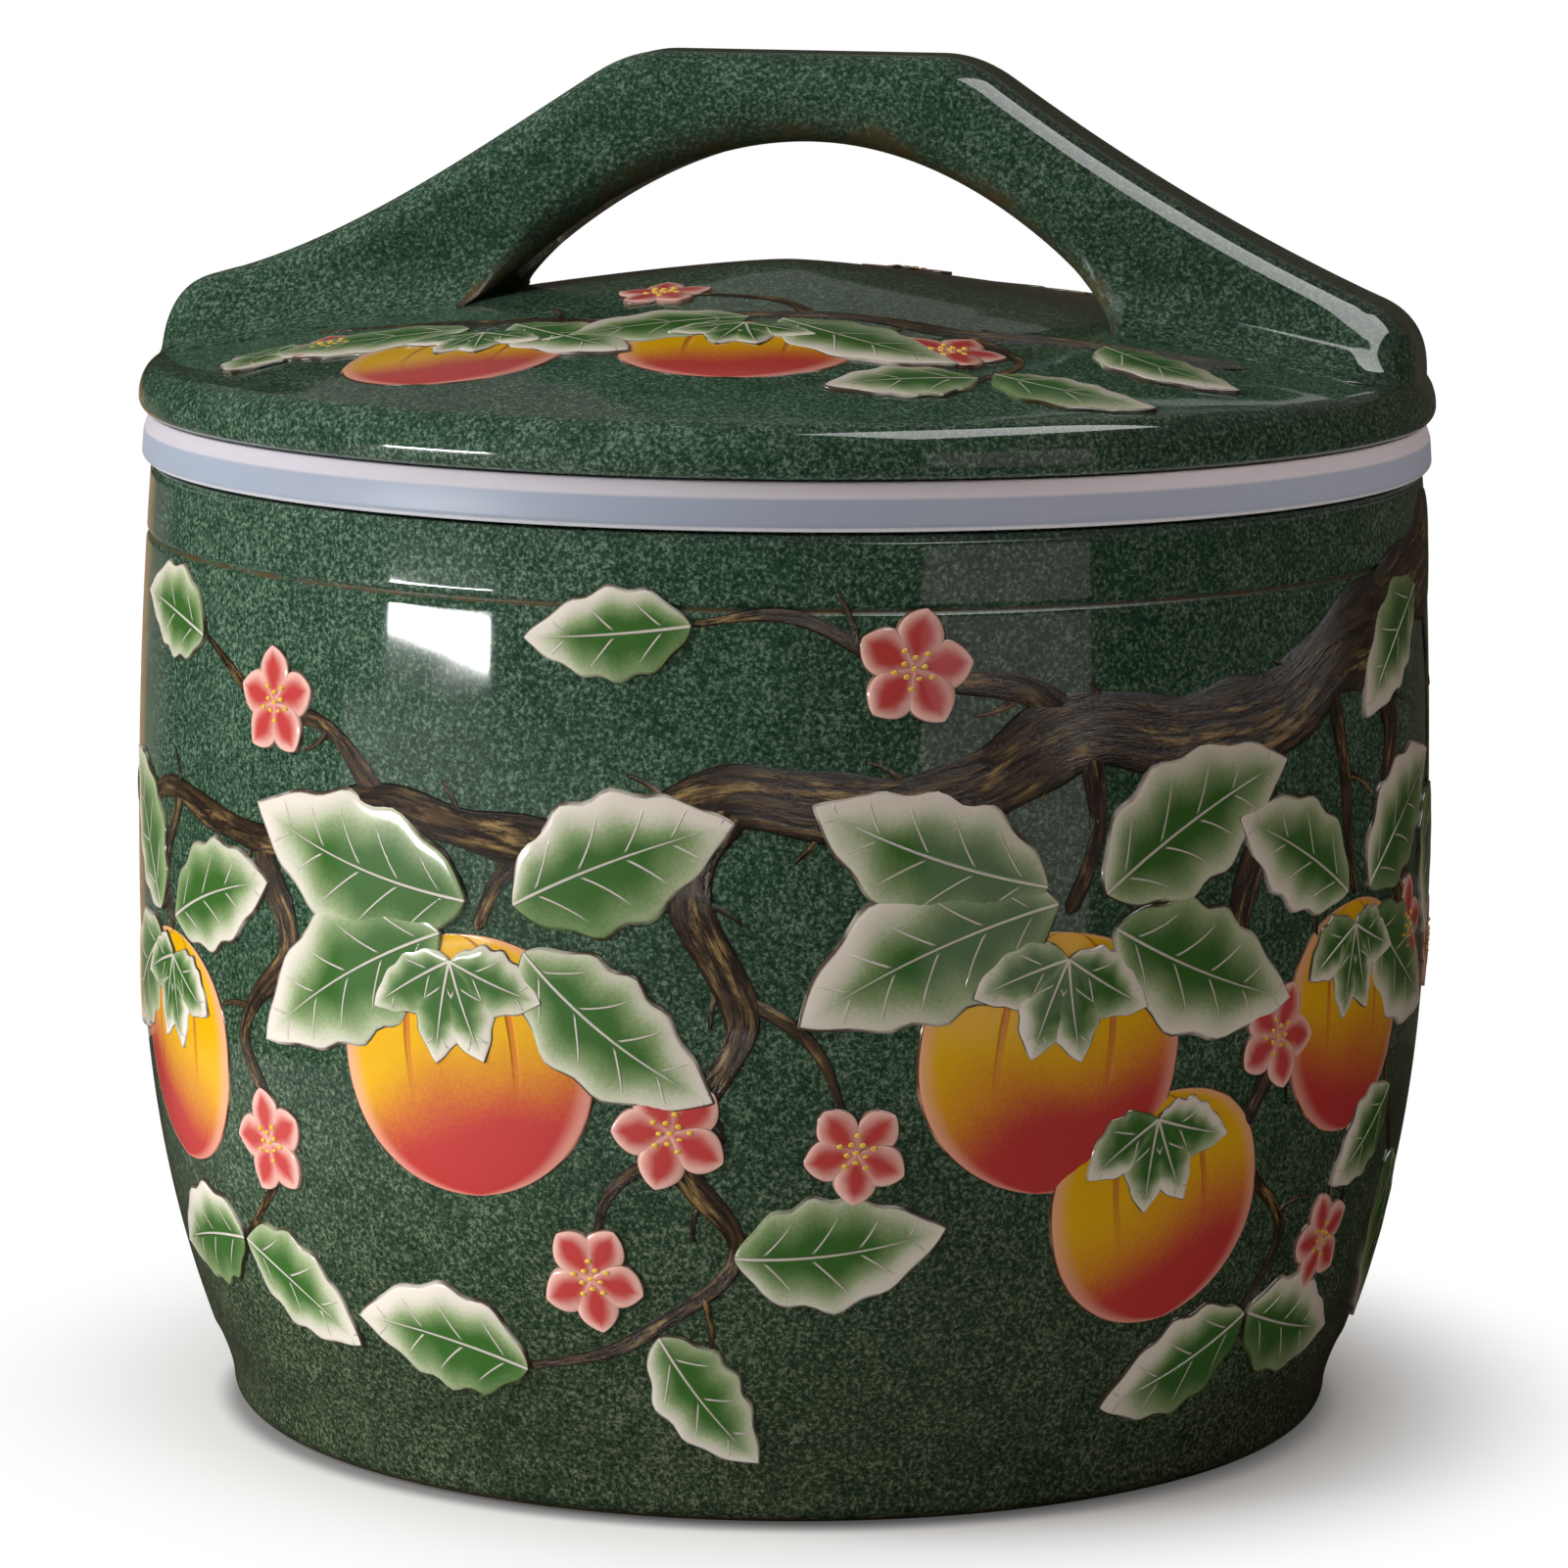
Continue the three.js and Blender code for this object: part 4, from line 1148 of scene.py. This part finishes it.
class CANISTER_OT_stage(bpy.types.Operator):
    """Pale floor, soft studio lights and the camera"""

    bl_idname = "canister.stage"
    bl_label = "Stage"

    def execute(self, context):
        stage = context.scene.canister_stage
        scene = context.scene
        scene.view_settings.view_transform = "Standard"
        corners = np.array([(-1, -1, 0), (1, -1, 0), (1, 1, 0), (-1, 1, 0)]) * stage.floor_size / 2
        add_mesh("floor", corners - (0, 0, stage.floor_drop), [(0, 1, 2, 3)], pale_paper(stage))
        self.add_flags(stage)
        scene.world = dim_room(stage)
        self.add_camera(scene, stage)
        self.add_lights(scene, stage)
        return {"FINISHED"}

    def add_flags(self, stage):
        """Two dark cards, seen only in gloss, that keep the glaze dark."""
        cloth = dark_cloth(stage)
        for name, make in {"dark_flag": far_card, "dark_dish": floor_dish}.items():
            points, faces, shade = make(stage)
            flag = add_mesh(name, points, faces, cloth, shade=shade)
            flag.visible_camera = flag.visible_diffuse = flag.visible_transmission = flag.visible_shadow = False

    def add_camera(self, scene, stage):
        data = bpy.data.cameras.new("camera")
        data.lens = stage.lens
        data.sensor_width = 36
        data.clip_end = 100
        camera = bpy.data.objects.new("camera", data)
        scene.collection.objects.link(camera)
        camera.location = (
            stage.distance * math.sin(stage.azimuth),
            -stage.distance * math.cos(stage.azimuth),
            stage.height,
        )
        pitch = math.atan2(stage.height - stage.aim, stage.distance)
        turn = Euler((math.pi / 2 - pitch, 0, stage.azimuth)).to_matrix() @ Matrix.Rotation(stage.roll, 3, "Z")
        camera.rotation_euler = turn.to_euler()
        scene.camera = camera

    def add_lights(self, scene, stage):
        """Area lights that face the canister, by azimuth from the camera, elevation, distance, size, radiance,
        tint, whether they light it and whether they show in its gloss. The glow low on the left stands for the
        light that a pale floor throws back, and the ring's own fill for what its clear rubber carries round."""
        lights = {
            "window": (-60, -2.0, 1.3, (0.46, 0.037), 130, (1, 1, 1), False, True),
            "top_softbox": (56, 63, 1.2, (0.9, 0.5), 7.6, (1, 1, 1), False, True),
            "right_card": (34, 0, 0.46, (0.22, 0.29), 0.75, (1, 0.8, 0.86), False, True),
            "key": (-76, 26, 1.8, (1.2, 1.0), 10.9, (1, 1, 1), True, False),
            "floor_glow": (-48, -33, 0.2385, (0.24, 0.05), 1.8, (1, 1, 1), True, False),
            "side_fill": (58, 40, 1.8, (1.2, 1.0), 0.8, (1, 0.82, 0.74), True, False),
            "top_fill": (-20, 65, 2.4, (2.4, 2.0), 0.5, (1, 1, 1), True, False),
            "ring_fill": (72, 25, 1.8, (1.2, 0.8), 4.6, (1, 0.9, 0.86), True, False),
        }
        centre = np.array([0, 0, stage.light_aim])
        for name, (azimuth, elevation, distance, size, radiance, tint, soft, gloss) in lights.items():
            data = bpy.data.lights.new(name, "AREA")
            data.shape = "RECTANGLE"
            data.size, data.size_y = size
            data.color = tint
            data.energy = radiance * size[0] * size[1] * math.pi
            light = bpy.data.objects.new(name, data)
            scene.collection.objects.link(light)
            turn, lift = stage.azimuth + math.radians(azimuth), math.radians(elevation)
            light.location = centre + distance * np.array([
                math.sin(turn) * math.cos(lift),
                -math.cos(turn) * math.cos(lift),
                math.sin(lift),
            ])
            light.rotation_euler = (math.pi / 2 - lift, 0, turn)
            light.visible_camera = False
            light.visible_diffuse, light.visible_glossy = soft, gloss
        ring_only = bpy.data.collections.new("ring_only")
        scene.collection.objects["ring_fill"].light_linking.receiver_collection = ring_only


class CANISTER_OT_jar(bpy.types.Operator):
    """The glazed jar, turned from its half section"""

    bl_idname = "canister.jar"
    bl_label = "Jar"

    def execute(self, context):
        jar = context.scene.canister_jar
        profile = jar_profile(jar)
        points, faces, coat = turned(profile, jar_coat(jar, profile))
        glaze = finish_of(speckled_glaze, context.scene.canister_finish)
        piece = add_piece("jar_glazed", points, faces, glaze, "jar", "jar_glaze", coat=coat)
        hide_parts("jar_body")
        return {"FINISHED"}


class CANISTER_OT_seal(bpy.types.Operator):
    """The silicone ring, turned from its closed section"""

    bl_idname = "canister.seal"
    bl_label = "Seal"

    def execute(self, context):
        seal = context.scene.canister_seal
        profile = seal_profile(seal)
        points, faces, milk = turned(profile, seal_milk(seal, profile))
        rubber = finish_of(clear_silicone, context.scene.canister_finish)
        piece = add_piece("seal_silicone", points, faces, rubber, "seal", "seal_silicone", milk=milk)
        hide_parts("seal_ring")
        ring_only = bpy.data.collections.get("ring_only")
        if ring_only:
            ring_only.objects.link(piece)
        return {"FINISHED"}


class CANISTER_OT_lid(bpy.types.Operator):
    """The domed lid, turned from its half section"""

    bl_idname = "canister.lid"
    bl_label = "Lid"

    def execute(self, context):
        lid = context.scene.canister_lid
        profile = lid_profile(lid)
        points, faces, coat = turned(profile, lid_coat(lid, profile))
        glaze = finish_of(speckled_glaze, context.scene.canister_finish)
        piece = add_piece("lid_glazed", points, faces, glaze, "lid", "lid_glaze", coat=coat)
        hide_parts("lid_shell")
        return {"FINISHED"}


class CANISTER_OT_handle(bpy.types.Operator):
    """The bridge handle, lofted across the lid"""

    bl_idname = "canister.handle"
    bl_label = "Handle"

    def execute(self, context):
        points, faces, coat = handle_mesh(context.scene.canister_handle, context.scene.canister_lid)
        glaze = finish_of(speckled_glaze, context.scene.canister_finish)
        piece = add_piece("handle_glazed", points, faces, glaze, "lid", "handle_glaze", coat=coat)
        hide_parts("lid_handle")
        return {"FINISHED"}


class CANISTER_OT_branches(bpy.types.Operator):
    """Brown limbs and their bare twigs, brushed round the jar and over the lid"""

    bl_idname = "canister.branches"
    bl_label = "Branches"

    def execute(self, context):
        def stroke(relief, surface, points, start, end):
            relief.spurs(surface, *relief.branch(surface, points, start, end))

        paint(context, "branches", bark_enamel, 3, {"jar": JAR_BRANCHES, "lid": LID_BRANCHES}, stroke)
        return {"FINISHED"}


class CANISTER_OT_leaves(bpy.types.Operator):
    """Leaves along the limbs, and the four-lobed cap of each fruit"""

    bl_idname = "canister.leaves"
    bl_label = "Leaves"

    def execute(self, context):
        def stroke(relief, surface, x, y, angle, size, *rest):
            if len(rest) == 2:
                relief.leaf(surface, x, y, angle, size, *rest)
                return
            tilt = math.radians(angle)
            top = np.array([x, y]) - 0.40 * size * np.array([math.sin(tilt), -math.cos(tilt)])
            for lobe in (-155, -105, -25, -75):
                relief.leaf(surface, *top, angle + lobe, size * 0.40, size * 0.13, 10, 0.6)

        layouts = {"jar": JAR_LEAVES + JAR_FRUIT, "lid": LID_LEAVES + LID_FRUIT}
        paint(context, "leaves", leaf_enamel, 5, layouts, stroke)
        return {"FINISHED"}


class CANISTER_OT_fruit(bpy.types.Operator):
    """Round fruit below the limbs"""

    bl_idname = "canister.fruit"
    bl_label = "Fruit"

    def execute(self, context):
        paint(context, "fruit", fruit_enamel, 7, {"jar": JAR_FRUIT, "lid": LID_FRUIT}, Relief.fruit)
        return {"FINISHED"}


class CANISTER_OT_blossoms(bpy.types.Operator):
    """Pink blossoms on the twigs, with their stamens"""

    bl_idname = "canister.blossoms"
    bl_label = "Blossoms"

    def execute(self, context):
        layouts = {"jar": JAR_BLOSSOMS, "lid": LID_BLOSSOMS}
        paint(context, "blossoms", petal_enamel, 11, layouts, Relief.blossom)
        paint(context, "stamens", stamen_enamel, 13, layouts, Relief.stamens)
        return {"FINISHED"}


OPERATORS = [
    CANISTER_OT_stage,
    CANISTER_OT_jar,
    CANISTER_OT_seal,
    CANISTER_OT_lid,
    CANISTER_OT_handle,
    CANISTER_OT_branches,
    CANISTER_OT_fruit,
    CANISTER_OT_leaves,
    CANISTER_OT_blossoms,
]


class CANISTER_PT_panel(bpy.types.Panel):
    """Buttons that build the canister and the settings they read"""

    bl_idname = "CANISTER_PT_panel"
    bl_label = "Rice canister"
    bl_space_type = "VIEW_3D"
    bl_region_type = "UI"
    bl_category = "Canister"

    def draw(self, context):
        for operator in OPERATORS:
            self.layout.operator(operator.bl_idname)
        for title, group in SETTINGS.items():
            box = self.layout.box()
            box.label(text=group.__name__)
            for name in group.__annotations__:
                box.prop(getattr(context.scene, title), name)


CLASSES = [*SETTINGS.values(), *OPERATORS, CANISTER_PT_panel]


def register():
    for each in CLASSES:
        bpy.utils.register_class(each)
    for title, group in SETTINGS.items():
        setattr(bpy.types.Scene, title, bpy.props.PointerProperty(type=group))


def unregister():
    for title in SETTINGS:
        delattr(bpy.types.Scene, title)
    for each in reversed(CLASSES):
        bpy.utils.unregister_class(each)


def main():
    register()
    for operator in OPERATORS:
        group, name = operator.bl_idname.split(".")
        getattr(getattr(bpy.ops, group), name)()


if __name__ == "__main__":
    main()
